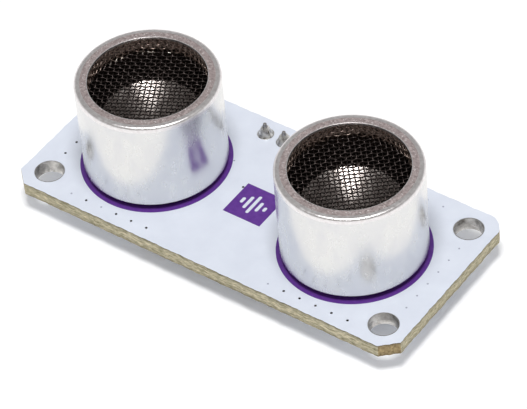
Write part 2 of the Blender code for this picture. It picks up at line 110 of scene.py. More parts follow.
# %% [markdown]
# ## The camera
# A long lens from far away keeps the board's long edges almost parallel, as a product picture does. The
# camera looks down at about 45 degrees from the board's right front corner, and it is rolled a few degrees so
# that the sensor lies along the picture's diagonal. A camera's own axes are the columns of its matrix: right,
# up and back. Making those three vectors directly says the roll plainly, which a Track To constraint can't.

# %% Place the camera
CAMERA_AZIMUTH = math.radians(38.71)
CAMERA_ELEVATION = math.radians(44.51)
CAMERA_ROLL = math.radians(-5.20)
CAMERA_DISTANCE = 386.26 * MM
CAMERA_LENS = 244.4
CAMERA_NEAR = 10 * MM
CAMERA_AIM = Vector((1.08 * MM, -0.20 * MM, BOARD_TOP))


def towards(azimuth, elevation):
    """A direction. Azimuth 0 is the board's front and grows towards its right end."""
    flat = math.cos(elevation)
    return Vector((math.sin(azimuth) * flat, -math.cos(azimuth) * flat, math.sin(elevation)))


def make_camera():
    back = towards(CAMERA_AZIMUTH, CAMERA_ELEVATION)
    roll = Matrix.Rotation(CAMERA_ROLL, 3, back)
    right = roll @ Vector((0, 0, 1)).cross(back).normalized()
    camera = bpy.data.objects.new("camera", bpy.data.cameras.new("camera"))
    camera.data.lens = CAMERA_LENS
    camera.data.clip_start = CAMERA_NEAR
    camera.matrix_world = Matrix.Translation(CAMERA_AIM + back * CAMERA_DISTANCE) @ (
        Matrix((right, back.cross(right), back)).transposed().to_4x4()
    )
    bpy.context.scene.collection.objects.link(camera)
    bpy.context.scene.camera = camera


make_camera()
print("camera at", bpy.context.scene.camera.matrix_world.translation)

# %% [markdown]
# ## Soft studio light and a white table
# Polished metal shows its surroundings, so they matter as much as the metal. A white paper sweep stands
# round the far side of the table and the room is grey above it and behind the camera. The cans' rounded
# shoulders mirror the sweep, and their flat tops mirror the grey above it, so they don't glare. One lamp,
# nearly overhead and a little towards the camera, does most of the work: it keeps the shadow short and close
# under the board's edges, and it draws a bright wedge down the far side of each horn.
# The table has to look pure white and still carry a shadow, so its surface is nearly white and gives off a
# little light of its own, but only to camera, mirror and glass rays.
# The room's colours and all the finishes are networks of shader nodes. A few helpers that each add a node and
# hand back what comes out of it let such a network be written like a sum. A Mix node has a set of sockets for
# each kind of data, so its colour sockets are picked by number.

# %% Helpers for shader nodes
COLOUR_A, COLOUR_B, COLOUR_OUT = 6, 7, 2


def feed(tree, entry, value):
    """Links another node's output into an entry, or writes a plain value on it."""
    if isinstance(value, bpy.types.NodeSocket):
        tree.links.new(value, entry)
    else:
        entry.default_value = value


def add(tree, kind, entries=None, **settings):
    """A new node. entries maps its entries, by name or number, to plain values or other nodes' outputs."""
    node = tree.nodes.new("ShaderNode" + kind)
    for key, value in settings.items():
        setattr(node, key, value)
    for key, value in (entries or {}).items():
        feed(tree, node.inputs[key], value)
    return node


def maths(tree, operation, first, second, **settings):
    """What a Math node makes of two numbers."""
    return add(tree, "Math", {0: first, 1: second}, operation=operation, **settings).outputs[0]


def vectors(tree, operation, entries, output="Vector"):
    """What a Vector Math node makes of its entries."""
    return add(tree, "VectorMath", entries, operation=operation).outputs[output]


def mapped(tree, value, start, end, low=0.0, high=1.0):
    """A number carried from the range start to end over to the range low to high, and held inside it."""
    entries = {"Value": value, "From Min": start, "From Max": end, "To Min": low, "To Max": high}
    return add(tree, "MapRange", entries).outputs["Result"]


def mix(tree, share, first, second, blend="MIX"):
    """Two colours mixed by a share from 0 to 1."""
    entries = {0: share, COLOUR_A: first, COLOUR_B: second}
    return add(tree, "Mix", entries, data_type="RGBA", blend_type=blend).outputs[COLOUR_OUT]


def ramp(tree, value, stops):
    """A colour ramp through stops of (position, colour), in order."""
    node = add(tree, "ValToRGB", {"Fac": value})
    elements = node.color_ramp.elements
    elements[0].position, elements[1].position = stops[0][0], stops[-1][0]
    for position, _ in stops[1:-1]:
        elements.new(position)
    for element, (_, colour) in zip(elements, stops):
        element.color = colour
    return node.outputs["Color"]


def height_in(tree, vector):
    return add(tree, "SeparateXYZ", {"Vector": vector}).outputs["Z"]


def start_material(name, **constant):
    """A new material, its node tree and its shader's entries. Whatever never changes is written at once."""
    made = bpy.data.materials.new(name)
    made.use_nodes = True
    shader = made.node_tree.nodes["Principled BSDF"].inputs
    for key, value in constant.items():
        shader[key.replace("_", " ")].default_value = value
    return made, made.node_tree, shader


print("node helpers ready")

# %% Light the room
SWEEP_WHITE = (0.98, 0.98, 0.98, 1.0)
SWEEP_TOP = 0.30
SWEEP_FADE = 0.22
ROOM_NEAR = (0.46, 0.45, 0.44, 1.0)
ROOM_GREY = (0.30, 0.295, 0.29, 1.0)
NEAR_START, NEAR_END = 0.1, 0.6
TABLE_WHITE = (0.98, 0.98, 0.98, 1.0)
TABLE_REACH = 2.0
TABLE_GLOW = 0.09
LAMP_DISTANCE = 0.50
LAMP_SIZE = 0.15
LAMP_POWER = 1.68
LAMP_ELEVATION = math.radians(81)


def light_room():
    world = bpy.data.worlds.new("studio")
    world.use_nodes = True
    tree = world.node_tree
    direction = add(tree, "TexCoord").outputs["Generated"]
    height = height_in(tree, direction)
    facing = vectors(tree, "DOT_PRODUCT", {0: direction, 1: towards(CAMERA_AZIMUTH, 0)}, "Value")
    near = mapped(tree, facing, NEAR_START, NEAR_END)
    walls = [
        ramp(tree, height, [(SWEEP_TOP, low), (SWEEP_TOP + SWEEP_FADE, ROOM_GREY)])
        for low in (SWEEP_WHITE, ROOM_NEAR)
    ]
    feed(tree, tree.nodes["Background"].inputs["Color"], mix(tree, near, *walls))
    bpy.context.scene.world = world


def hang_lamp():
    """A square lamp that faces the sensor."""
    place = towards(CAMERA_AZIMUTH, LAMP_ELEVATION) * LAMP_DISTANCE
    lamp = bpy.data.objects.new("overhead", bpy.data.lights.new("overhead", "AREA"))
    lamp.data.size = LAMP_SIZE
    lamp.data.energy = LAMP_POWER
    lamp.location = place
    lamp.rotation_euler = (-place).to_track_quat("-Z", "Y").to_euler()
    bpy.context.scene.collection.objects.link(lamp)


def plain_rays(tree):
    """1 for camera, mirror and glass rays, and 0 for all others."""
    path = add(tree, "LightPath").outputs
    seen = maths(tree, "ADD", path["Is Camera Ray"], path["Is Glossy Ray"], use_clamp=True)
    return maths(tree, "ADD", seen, path["Is Transmission Ray"], use_clamp=True)


def lay_table():
    mesh = bpy.data.meshes.new("table")
    bm = bmesh.new()
    bmesh.ops.create_grid(bm, x_segments=1, y_segments=1, size=TABLE_REACH)
    bm.to_mesh(mesh)
    bm.free()
    made, tree, shader = start_material(
        "white table", Base_Color=TABLE_WHITE, Roughness=1.0, Specular_IOR_Level=0.0,
        Emission_Color=(1, 1, 1, 1),
    )
    feed(tree, shader["Emission Strength"], maths(tree, "MULTIPLY", plain_rays(tree), TABLE_GLOW))
    mesh.materials.append(made)
    table = bpy.data.objects.new("table", mesh)
    bpy.context.scene.collection.objects.link(table)


light_room()
hang_lamp()
lay_table()
bpy.context.scene.view_settings.view_transform = "Standard"

# %% [markdown]
# ## Four ways to make a shape
# Nearly everything on this sensor was turned, cut from sheet, moulded as a block or drawn as wire, so four
# helpers make nearly every mesh:
# - turned: an outline swept round an axis. A corner of the outline can be rounded, and each stretch of it can
#   have its own finish, because one drawn can has a bright edge, a dull top and a satin side.
# - sheet: a flat outline with holes, given a thickness. A filled 2D curve does the hard part.
# - block: a box with rounded edges, for the moulded chips.
# - wire: a round tube along points.
# Each piece rides on the body "root", because nothing in this sensor moves.

# %% Helpers for pieces
OBJECTS = bpy.context.scene.collection.objects
SMOOTH_BELOW = math.radians(32)
WELD = 0.0005 * MM
SMALLEST = 0.0001 * MM


def built(name, build):
    """A mesh filled by build(bm), with faces that point outwards and soft shading where it is smooth."""
    mesh = bpy.data.meshes.new(name)
    bm = bmesh.new()
    build(bm)
    bmesh.ops.recalc_face_normals(bm, faces=bm.faces)
    bm.to_mesh(mesh)
    bm.free()
    mesh.shade_smooth()
    mesh.set_sharp_from_angle(angle=SMOOTH_BELOW)
    return mesh


def mesh_from(name, verts, faces, slots=None):
    """A mesh of points and faces. Points that coincide are welded."""
    loose = bpy.data.meshes.new("loose")
    loose.from_pydata([tuple(v) for v in verts], [], faces)
    if slots is not None:
        loose.polygons.foreach_set("material_index", slots)

    def build(bm):
        bm.from_mesh(loose)
        bmesh.ops.remove_doubles(bm, verts=bm.verts, dist=WELD)

    mesh = built(name, build)
    bpy.data.meshes.remove(loose)
    return mesh


def show(data, materials, nodes=(), at=(0, 0, 0), turn=0.0):
    """Puts a piece in the scene under its mesh's name. It stands for the CAD nodes
    and hides them."""
    piece = bpy.data.objects.new(data.name, data)
    for made in materials:
        data.materials.append(made)
    piece.location = at
    piece.rotation_euler = (0, 0, turn)
    OBJECTS.link(piece)
    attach(piece, "root")
    if nodes:
        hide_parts(*nodes)
    return piece


def recolour(node, made):
    """Gives a CAD node that keeps its own shape a finish from this script."""
    slots = frame["nodes"][node].data.materials
    slots.clear()
    slots.append(made)


def show_in_can(side, data, materials, node, turn=0.0):
    """Shows a piece of one transducer in place of one of its CAD nodes."""
    show(data, materials, [f"{side}_{node}"], AXIS[side], turn)


def eased(outline, steps=5):
    """Rounds an outline's corners. A corner is (radius, height), and may add a rounding and then the
    finish of the stretch that follows it. The result pairs each point with its finish."""
    points, count = [], len(outline)
    for i, corner in enumerate(outline):
        x, z, rounding, slot = (*corner, 0, 0)[:4]
        here = Vector((x, z))
        before = Vector(outline[i - 1][:2]) - here
        after = Vector(outline[(i + 1) % count][:2]) - here
        if rounding == 0 or min(before.length, after.length) < 1e-9:
            points.append((here, slot))
            continue
        half = before.angle(after) / 2
        reach = min(rounding / math.tan(half), before.length * 0.49, after.length * 0.49)
        start, end = here + before.normalized() * reach, here + after.normalized() * reach
        for k in range(steps + 1):
            t = k / steps
            weights = ((1 - t) ** 2, 2 * t * (1 - t) * math.sin(half), t**2)
            bent = (start * weights[0] + here * weights[1] + end * weights[2]) / sum(weights)
            points.append((bent, slot))
    return points


def turned(name, outline, segments=96, closed=False):
    """Sweeps an outline round Z. An open outline starts and ends on the axis."""
    points = eased(outline)
    verts, rows = [], []
    for point, _ in points:
        if point.x < SMALLEST:
            rows.append([len(verts)] * segments)
            verts.append((0, 0, point.y))
            continue
        rows.append(list(range(len(verts), len(verts) + segments)))
        for k in range(segments):
            angle = 2 * math.pi * k / segments
            verts.append((point.x * math.cos(angle), point.x * math.sin(angle), point.y))
    faces, slots = [], []
    last = len(rows) if closed else len(rows) - 1
    for i in range(last):
        here, there = rows[i], rows[(i + 1) % len(rows)]
        for k in range(segments):
            n = (k + 1) % segments
            corners = list(dict.fromkeys((here[k], here[n], there[n], there[k])))
            if len(corners) > 2:
                faces.append(corners)
                slots.append(points[i][1])
    return mesh_from(name, verts, faces, slots)


def round_points(centre, radius, count):
    angles = [2 * math.pi * k / count for k in range(count)]
    return [(centre[0] + radius * math.cos(a), centre[1] + radius * math.sin(a)) for a in angles]


def add_route(curve, points):
    """Adds straight runs through points to a curve."""
    spline = curve.splines.new("POLY")
    spline.points.add(len(points) - 1)
    spline.points.foreach_set("co", np.column_stack([points, np.ones(len(points))]).ravel())
    return spline


def sheet(name, outlines, low, high):
    """A flat piece between two heights. The first outline is its edge and the others are cut out."""
    curve = bpy.data.curves.new("outline", "CURVE")
    curve.dimensions = "2D"
    curve.fill_mode = "BOTH"
    curve.extrude = (high - low) / 2
    for outline in outlines:
        add_route(curve, [(x, y, 0) for x, y in outline]).use_cyclic_u = True
    helper = bpy.data.objects.new("outline", curve)
    OBJECTS.link(helper)
    filled = bpy.data.meshes.new_from_object(helper.evaluated_get(bpy.context.evaluated_depsgraph_get()))
    filled.transform(Matrix.Translation((0, 0, (low + high) / 2)))
    mesh = mesh_from(name, [v.co for v in filled.vertices], [tuple(p.vertices) for p in filled.polygons])
    bpy.data.objects.remove(helper)
    bpy.data.curves.remove(curve)
    bpy.data.meshes.remove(filled)
    return mesh


def block(bm, size, centre, rounding, slot=0, steps=2):
    """Adds a box with rounded edges to bm."""
    made = bmesh.ops.create_cube(bm, size=1)["verts"]
    bmesh.ops.scale(bm, vec=size, verts=made)
    bmesh.ops.translate(bm, vec=centre, verts=made)
    faces = {face for vert in made for face in vert.link_faces}
    for face in faces:
        face.material_index = slot
    if rounding:
        edges = list({edge for face in faces for edge in face.edges})
        bmesh.ops.bevel(bm, geom=edges, offset=rounding, segments=steps, affect="EDGES", profile=0.5)


def wires(name, routes, radius, detail=1):
    """One curve object with a round wire along each list of points."""
    curve = bpy.data.curves.new(name, "CURVE")
    curve.dimensions = "3D"
    curve.bevel_depth = radius
    curve.bevel_resolution = detail
    curve.use_fill_caps = True
    for route in routes:
        add_route(curve, route).use_smooth = True
    return curve


print("helpers ready")

# %% [markdown]
# ## Three shader groups that every finish shares
# No surface on the real sensor is one flat colour. Metal is drawn and handled, solder mask is slightly
# rippled, and moulded plastic has a fine skin. These effects are the same kind of thing at different sizes,
# so each is a node group built once:
# - toned grain: noise of a given size that moves between two colours and two roughnesses.
# - fine relief: noise of a given size turned into a slightly bumpy normal.
# - specks: a mask of scattered small marks, for the places where handling left a different colour.
# Sizes go in as millimetres. Object coordinates are in metres, so each group multiplies them by 1000 over the
# size. Stretch makes the grain longer or shorter along X, Y and Z.

# %% Build the groups
def group(name, entries, results):
    """A new shader group. Also gives what goes into it and what comes out of it."""
    made = bpy.data.node_groups.new(name, "ShaderNodeTree")
    for label, kind, default in entries:
        socket = made.interface.new_socket(label, in_out="INPUT", socket_type="NodeSocket" + kind)
        socket.default_value = default
    for label, kind in results:
        made.interface.new_socket(label, in_out="OUTPUT", socket_type="NodeSocket" + kind)
    return made, made.nodes.new("NodeGroupInput").outputs, made.nodes.new("NodeGroupOutput").inputs


def place_on_object(tree):
    return add(tree, "TexCoord").outputs["Object"]


def sized_noise(tree, entry, detail):
    """Noise over object coordinates whose features are about Size millimetres across."""
    per_size = maths(tree, "DIVIDE", 1 / MM, entry["Size"])
    scaled = vectors(tree, "SCALE", {0: place_on_object(tree), "Scale": per_size})
    stretched = vectors(tree, "DIVIDE", {0: scaled, 1: entry["Stretch"]})
    noise = {"Vector": stretched, "Scale": 1.0, "Detail": detail, "Roughness": 0.6}
    return add(tree, "TexNoise", noise).outputs["Fac"]


NOISE_ENTRIES = [("Size", "Float", 1.0), ("Stretch", "Vector", (1.0, 1.0, 1.0))]


def make_toned_grain():
    """Dark and Smooth are where the noise is low, Light and Rough where it is high."""
    tree, entry, out = group(
        "toned grain",
        [
            *NOISE_ENTRIES,
            ("Dark", "Color", (0.0, 0.0, 0.0, 1.0)),
            ("Light", "Color", (1.0, 1.0, 1.0, 1.0)),
            ("Smooth", "Float", 0.3),
            ("Rough", "Float", 0.5),
        ],
        [("Colour", "Color"), ("Roughness", "Float")],
    )
    grain = mapped(tree, sized_noise(tree, entry, detail=4.0), 0.3, 0.7)
    feed(tree, out["Colour"], mix(tree, grain, entry["Dark"], entry["Light"]))
    feed(tree, out["Roughness"], mapped(tree, grain, 0.0, 1.0, entry["Smooth"], entry["Rough"]))
    return tree


def make_fine_relief():
    """Depth is the height of the bumps in millimetres."""
    tree, entry, out = group(
        "fine relief",
        [*NOISE_ENTRIES, ("Depth", "Float", 0.01)],
        [("Normal", "Vector")],
    )
    depth = maths(tree, "MULTIPLY", entry["Depth"], MM)
    noise = sized_noise(tree, entry, detail=2.0)
    bump = add(tree, "Bump", {"Strength": 1.0, "Distance": depth, "Height": noise})
    feed(tree, out["Normal"], bump.outputs["Normal"])
    return tree


def make_specks():
    """An Amount of 0 leaves almost no marks, and near 1 they cover the surface."""
    tree, entry, out = group(
        "specks",
        [*NOISE_ENTRIES, ("Amount", "Float", 0.3)],
        [("Mask", "Float")],
    )
    level = mapped(tree, entry["Amount"], 0.0, 1.0, 0.72, 0.36)
    over = maths(tree, "SUBTRACT", sized_noise(tree, entry, detail=3.0), level)
    feed(tree, out["Mask"], mapped(tree, over, 0.0, 0.06))
    return tree


TONED_GRAIN = make_toned_grain()
FINE_RELIEF = make_fine_relief()
SPECKS = make_specks()
print("groups:", [g.name for g in bpy.data.node_groups])

# %% [markdown]
# ## A finish from plain numbers
# Most finishes differ only in their two tones, two roughnesses, grain size, relief and the specks that
# handling left on them, so one function lays out the nodes and each finish is a line of values. What is the
# same all over a surface, such as how metallic it is, goes straight on the Principled BSDF. Colours are given
# as the screen shows them, from 0 to 255, and turned into the linear values that a renderer works in.

# %% The finish function
def tone(red, green, blue):
    """A screen colour from 0 to 255 as linear red, green, blue and alpha."""
    linear = [
        c / 12.92 if c <= 0.04045 else ((c + 0.055) / 1.055) ** 2.4
        for c in (red / 255, green / 255, blue / 255)
    ]
    return (*linear, 1.0)


def place_group(tree, kind, **entries):
    """Places a shader group and gives its outputs."""
    return add(tree, "Group", entries, node_tree=kind).outputs


def finish(
    name, dark, light, smooth, rough, size=1.0, stretch=(1, 1, 1), relief=None, specks=None, **constant
):
    """A material from two tones and two roughnesses. relief is (size, depth), and specks is (size,
    stretch, amount, tone). Sizes are in millimetres."""
    made, tree, shader = start_material(name, **constant)
    tones = {"Dark": tone(*dark), "Light": tone(*light)}
    grain = place_group(tree, TONED_GRAIN, Size=size, Stretch=stretch, Smooth=smooth, Rough=rough, **tones)
    colour = grain["Colour"]
    if specks:
        marks = place_group(tree, SPECKS, Size=specks[0], Stretch=specks[1], Amount=specks[2])
        colour = mix(tree, marks["Mask"], colour, tone(*specks[3]))
    feed(tree, shader["Base Color"], colour)
    feed(tree, shader["Roughness"], grain["Roughness"])
    if relief:
        bumps = place_group(tree, FINE_RELIEF, Size=relief[0], Stretch=stretch, Depth=relief[1])
        feed(tree, shader["Normal"], bumps["Normal"])
    return made


def metal(name, dark, light, smooth, rough, **more):
    return finish(name, dark, light, smooth, rough, Metallic=1.0, **more)


def reopened(made):
    """A finish's node tree, its shader's entries and the colour that it has so far."""
    tree = made.node_tree
    shader = tree.nodes["Principled BSDF"].inputs
    return tree, shader, shader["Base Color"].links[0].from_socket


print("finish function ready")

# %% [markdown]
# ## The circuit board
# The board is glass-fibre laminate with white solder mask on both faces. Its outline was milled, which leaves
# a slightly wavy edge, most of all on the clipped corners, and the glass cloth shows in it as pale streaks
# between darker resin. The screw holes are plated, so their walls are metal. A box with a texture would lose
# all of that. The outline here is walked in short steps with a small wander added inwards, so the board never
# grows, and each face then gets the finish of what it is: mask, laminate or plating.

# %% Finishes of the board
WHITE_MASK = finish(
    "white solder mask", (219, 225, 238), (226, 232, 244), 0.30, 0.42, size=3.0, relief=(0.5, 0.004),
    Coat_Weight=0.15, Coat_Roughness=0.2,
)
# Painted reflection: the plating's grain swings from dark to nearly white, as if the walls mirrored dark and
# bright.
PLATING = metal(
    "plated hole", (112, 107, 101), (248, 244, 238), 0.16, 0.36, size=1.9, relief=(0.3, 0.015)
)
LAYERS = ((0.16, 0.76), (0.40, 1.0), (0.66, 0.96), (0.88, 0.74))
LAYER_STOPS = [
    (0.0, (0.58, 0.56, 0.44, 1)),
    *((position, (level, level * 0.985, level * 0.93, 1)) for position, level in LAYERS),
    (1.0, (0.30, 0.29, 0.24, 1)),
]


def make_laminate(name, dark, light, stretch):
    """Glass cloth in resin, cut across: pale streaks along the cut, darker towards both faces."""
    made = finish(name, dark, light, 0.55, 0.8, size=0.45, stretch=stretch)
    tree, shader, colour = reopened(made)
    across = mapped(tree, height_in(tree, place_on_object(tree)), BOARD_BOTTOM, BOARD_TOP)
    colour = mix(tree, 1.0, colour, ramp(tree, across, LAYER_STOPS), blend="MULTIPLY")
    feed(tree, shader["Base Color"], colour)
    streaks = place_group(tree, FINE_RELIEF, Size=0.3, Stretch=(1.6, 1.6, 0.5), Depth=0.06)
    feed(tree, shader["Normal"], streaks["Normal"])
    return made


LAMINATE = make_laminate("milled laminate", (122, 118, 82), (240, 231, 206), (1.5, 1.5, 0.4))
LAMINATE_CORNER = make_laminate("milled laminate corner", (122, 98, 58), (204, 184, 140), (0.7, 0.7, 0.8))
print("board finishes:", [made.name for made in (WHITE_MASK, PLATING, LAMINATE, LAMINATE_CORNER)])

# %% The milled outline and its holes
CORNER_CUT = 1.7 * MM
MILL_STEP = 0.2 * MM
MILL_WANDER = 0.11 * MM
SNAPPED_WANDER = 0.18 * MM
CORNER_WANDER = 0.03 * MM
CORNER_BULGE = 0.25 * MM
SNAPPED_CORNER, WORN_CORNER = 0, 2
SCREW_RADIUS = 1.6 * MM
SCREW_INSET = 3.0 * MM
PIN_HOLE = 0.65 * MM
CONTACT_HOLE = 0.45 * MM
VIA_RADIUS = 0.145 * MM
VIA_PITCH = 2.03 * MM
ON_THE_WALL = 0.02 * MM
MASK, CUT_EDGE, PLATED, CUT_CORNER = range(4)
CONTACTS = [Vector(middle(f"socket_contact_{i}").xy) for i in range(1, 6)]
PINS = [Vector(middle(f"{side}_pin_{end}").xy) for side in SIDES for end in ("front", "back")]
SCREW_X, SCREW_Y = BOARD_HIGH.x - SCREW_INSET, BOARD_HIGH.y - SCREW_INSET
SCREWS = [Vector((x * SCREW_X, y * SCREW_Y)) for x in (-1, 1) for y in (-1, 1)]


def wander(distance):
    """A repeatable wobble between 0 and 1 along the milled edge."""
    run = distance / MM
    waves = 0.35 * math.sin(run * 4.1) + 0.25 * math.sin(run * 7.9 + 1.3) + 0.4 * math.sin(run * 1.7 + 0.4)
    return 0.5 + 0.5 * waves


def milled_outline():
    """The board's edge, walked in short steps with a wander to the inside. The front right corner was
    snapped off roughly and the back right one is worn round."""
    x, y = BOARD_HIGH.x, BOARD_HIGH.y
    corners = []
    for sx, sy in ((1, -1), (1, 1), (-1, 1), (-1, -1)):
        cut = [(sx * (x - CORNER_CUT), sy * y), (sx * x, sy * (y - CORNER_CUT))]
        corners += cut if sx * sy < 0 else cut[::-1]
    points, run = [], 0.0
    for i, start in enumerate(corners):
        start, end = Vector(start), Vector(corners[(i + 1) % len(corners)])
        along = (end - start).normalized()
        inward = Vector((-along.y, along.x))
        depth = SNAPPED_WANDER if i == SNAPPED_CORNER else MILL_WANDER if i % 2 else CORNER_WANDER
        bulge = CORNER_BULGE if i == WORN_CORNER else 0.0
        steps = max(int((end - start).length / MILL_STEP), 2)
        for k in range(steps):
            inset = wander(run) * depth - bulge * math.sin(math.pi * k / steps)
            spot = start.lerp(end, k / steps) + inward * inset
            points.append(tuple(spot))
            run += (end - start).length / steps
    return points


def via_row(start, step, kinds):
    """Vias at even steps. An o is left open and a t is tented, which means covered by the mask."""
    return [(Vector(start) * MM + Vector(step) * i, kind) for i, kind in enumerate(kinds)]


ALONG_X, ALONG_Y = (VIA_PITCH, 0), (0, VIA_PITCH)
VIAS = [
    *via_row((-17.84, -9.71), ALONG_X, "totooo"),
    *via_row((8.33, -9.71), ALONG_X, "tooooo"),
    *via_row((22.72, -4.97), ALONG_Y, "tttttt"),
    *via_row((-22.27, -4.97), ALONG_Y, "oott"),
    *via_row((-17.84, 9.6), ALONG_X, "otto"),
    *via_row((15.8, 9.6), ALONG_X, "tt"),
    *via_row((-5.6, 2.92), (0, 0.8 * MM), "ot"),
    *via_row((-2.37, 0.86), ALONG_X, "o"),
]
OPEN_VIAS = [spot for spot, kind in VIAS if kind == "o"]
TENTED_VIAS = [spot for spot, kind in VIAS if kind == "t"]


def make_board():
    holes = [(spot, SCREW_RADIUS, 96) for spot in SCREWS]
    holes += [(spot, PIN_HOLE, 32) for spot in PINS]
    holes += [(spot, CONTACT_HOLE, 32) for spot in CONTACTS]
    holes += [(spot, VIA_RADIUS, 14) for spot in OPEN_VIAS]
    outlines = [milled_outline()] + [round_points(spot, radius, count) for spot, radius, count in holes]
    mesh = sheet("board_laminate", outlines, BOARD_BOTTOM, BOARD_TOP)
    for face in mesh.polygons:
        if abs(face.normal.z) < 0.5:
            spot = Vector(face.center.xy)
            plated = any((spot - hole).length < radius + ON_THE_WALL for hole, radius, _ in holes)
            slanted = min(abs(face.normal.x), abs(face.normal.y)) > 0.45
            face.material_index = PLATED if plated else CUT_CORNER if slanted else CUT_EDGE
    show(mesh, [WHITE_MASK, LAMINATE, PLATING, LAMINATE_CORNER], ["circuit_board"])
    return mesh


BOARD_MESH = make_board()
print(f"board: {len(BOARD_MESH.polygons)} faces, {len(OPEN_VIAS)} open vias, {len(TENTED_VIAS)} tented ones")

# %% [markdown]
# ## What is printed on the board
# A purple ring is printed round each can, and a purple square between them. Ink lies on the mask as a film a
# few hundredths of a millimetre thick, which is too little to see from the side but enough to catch light
# along its edge, so each print is a thin sheet of its own and not a change of colour in the board's material.
# The square carries a plain picture of a sound burst, left out of the ink so that the white board shows.

# %% Print the rings, the square and the tented vias
INK_THICKNESS = 0.025 * MM
RING_OUTER = 8.43 * MM
RING_INNER = 6.3 * MM
SQUARE_LOW = Vector((-2.2, -3.2)) * MM
SQUARE_SIZE = 4.82 * MM
BURST_WIDTH = 0.40 * MM
BURST_STEP = 0.72 * MM
BURST_HEIGHTS = (0.9, 2.0, 2.9, 1.5, 0.7)
PURPLE_INK = finish(
    "purple ink", (88, 44, 136), (101, 56, 148), 0.42, 0.54, size=0.6, relief=(0.15, 0.003),
    Specular_IOR_Level=0.3,
)
SUNK_MASK = finish("mask sunk into a via", (142, 146, 166), (176, 181, 200), 0.4, 0.55, size=0.12)
RIM_METAL = metal("hole rim", (150, 148, 146), (206, 205, 205), 0.3, 0.5, size=0.8)
TENT_RADIUS = 0.17 * MM
TENT_DIP = 0.115 * MM
RIM_WIDTH = 0.09 * MM
RIM_THICKNESS = 0.012 * MM


def round_bar(centre, width, height, count=8):
    """An upright bar with round ends, as an outline."""
    radius, reach = width / 2, (height - width) / 2
    angles = [math.pi * k / count for k in range(count + 1)]
    top = [(centre[0] + radius * math.cos(a), centre[1] + reach + radius * math.sin(a)) for a in angles]
    return top + [(2 * centre[0] - x, 2 * centre[1] - y) for x, y in top]


def print_square():
    low, high = SQUARE_LOW, SQUARE_LOW + Vector((SQUARE_SIZE, SQUARE_SIZE))
    centre = (low + high) / 2
    outlines = [[(low.x, low.y), (high.x, low.y), (high.x, high.y), (low.x, high.y)]]
    for k, height in enumerate(BURST_HEIGHTS):
        place = centre + Vector(((k - 2) * BURST_STEP, 0))
        outlines.append(round_bar(place, BURST_WIDTH, height * MM))
    mesh = sheet("printed_square", outlines, BOARD_TOP, BOARD_TOP + INK_THICKNESS)
    show(mesh, [PURPLE_INK])


def print_rings():
    for side in SIDES:
        outlines = [round_points((0, 0), RING_OUTER, 160), round_points((0, 0), RING_INNER, 96)]
        mesh = sheet(f"{side}_printed_ring", outlines, 0, INK_THICKNESS)
        show(mesh, [PURPLE_INK], at=AXIS[side])


def rim_screw_holes():
    """The plating turns over each hole's top edge as a thin metal rim."""
    outlines = [round_points((0, 0), radius, 96) for radius in (SCREW_RADIUS + RIM_WIDTH, SCREW_RADIUS)]
    for i, spot in enumerate(SCREWS, start=1):
        mesh = sheet(f"screw_hole_rim_{i}", outlines, 0, RIM_THICKNESS)
        show(mesh, [RIM_METAL], at=(*spot, BOARD_TOP))


def cover_vias():
    """A tented via is a shallow pimple of mask with a sunk middle, on both faces of the board."""
    outline = [
        (0, 0.004 * MM, 0, 1),
        (TENT_DIP, 0.006 * MM),
        (TENT_DIP + 0.03 * MM, 0.014 * MM, 0.02 * MM),
        (TENT_RADIUS, 0.001 * MM),
        (TENT_RADIUS, -0.01 * MM),
        (0, -0.01 * MM),
    ]
    pimple = turned("tent", outline, 20)
    verts, faces, slots = [], [], []
    for spot in TENTED_VIAS:
        for ground, way in ((BOARD_TOP, 1), (BOARD_BOTTOM, -1)):
            base = len(verts)
            for point in (v.co for v in pimple.vertices):
                verts.append(Vector((spot.x + point.x, spot.y + point.y * way, ground + point.z * way)))
            faces += [[base + i for i in face.vertices] for face in pimple.polygons]
            slots += [face.material_index for face in pimple.polygons]
    show(mesh_from("tented_vias", verts, faces, slots), [WHITE_MASK, SUNK_MASK])


print_square()
print_rings()
rim_screw_holes()
cover_vias()
print("printed rings out to", round(RING_OUTER / MM, 2), "mm")

# %% [markdown]
# ## The cans
# Each transducer's can is drawn from thin aluminium sheet, and its mouth is turned inwards to a flat ring.
# Drawing leaves three finishes on one piece: a satin side, a bright rounded shoulder where the die rubbed,
# and a dull, mottled ring on top. A turned outline gives the shape, and a material slot for each stretch of
# the outline gives the finishes their true places, sharper than any mask in a shader could.

# %% Finishes of the can
SATIN_SIDE = metal(
    "satin drawn aluminium", (221, 221, 223), (231, 231, 229), 0.22, 0.30, size=1.4, stretch=(1, 1, 2.0),
    relief=(0.7, 0.0006), specks=(0.3, (1, 1, 1.6), 0.16, (214, 214, 216)),
)
BRIGHT_SHOULDER = metal(
    "rubbed aluminium", (226, 221, 221), (246, 244, 244), 0.28, 0.40, size=0.4, relief=(0.3, 0.004)
)
MOTTLED_RING = metal(
    "mottled aluminium", (172, 156, 155), (224, 210, 209), 0.32, 0.54, size=0.30,
    relief=(0.12, 0.024), specks=(0.18, (1, 1, 1), 0.34, (252, 248, 247)),
)
# Painted shade: the can's inside below the screen is given dark brown tones for the darkness deep in the can.
INSIDE_CAN = finish("inside of the can", (48, 38, 34), (74, 60, 54), 0.4, 0.6, size=1.0, Metallic=0.7)
# The band behind the screen is pale metal, and its tones are raised further as painted light for the shade
# under the lip.
BEHIND_SCREEN = finish(
    "dull metal behind the screen", (232, 208, 198), (248, 228, 218), 0.5, 0.7, size=0.6
)

# %% Turn the cans
OPENING_RADIUS = 6.55 * MM
CAN_WALL = 0.5 * MM
LIP = 0.35 * MM
SHOULDER_ROUND = 0.62 * MM
RING_INSET = 0.15 * MM
RUBBED_EDGE = 0.08 * MM
CAD_SCREEN_WALL = 0.25 * MM
SCREEN_FLOOR = above_board("receiver_screen")[0] + CAD_SCREEN_WALL
SIDE, SHOULDER, RING, INSIDE, BEHIND = range(5)


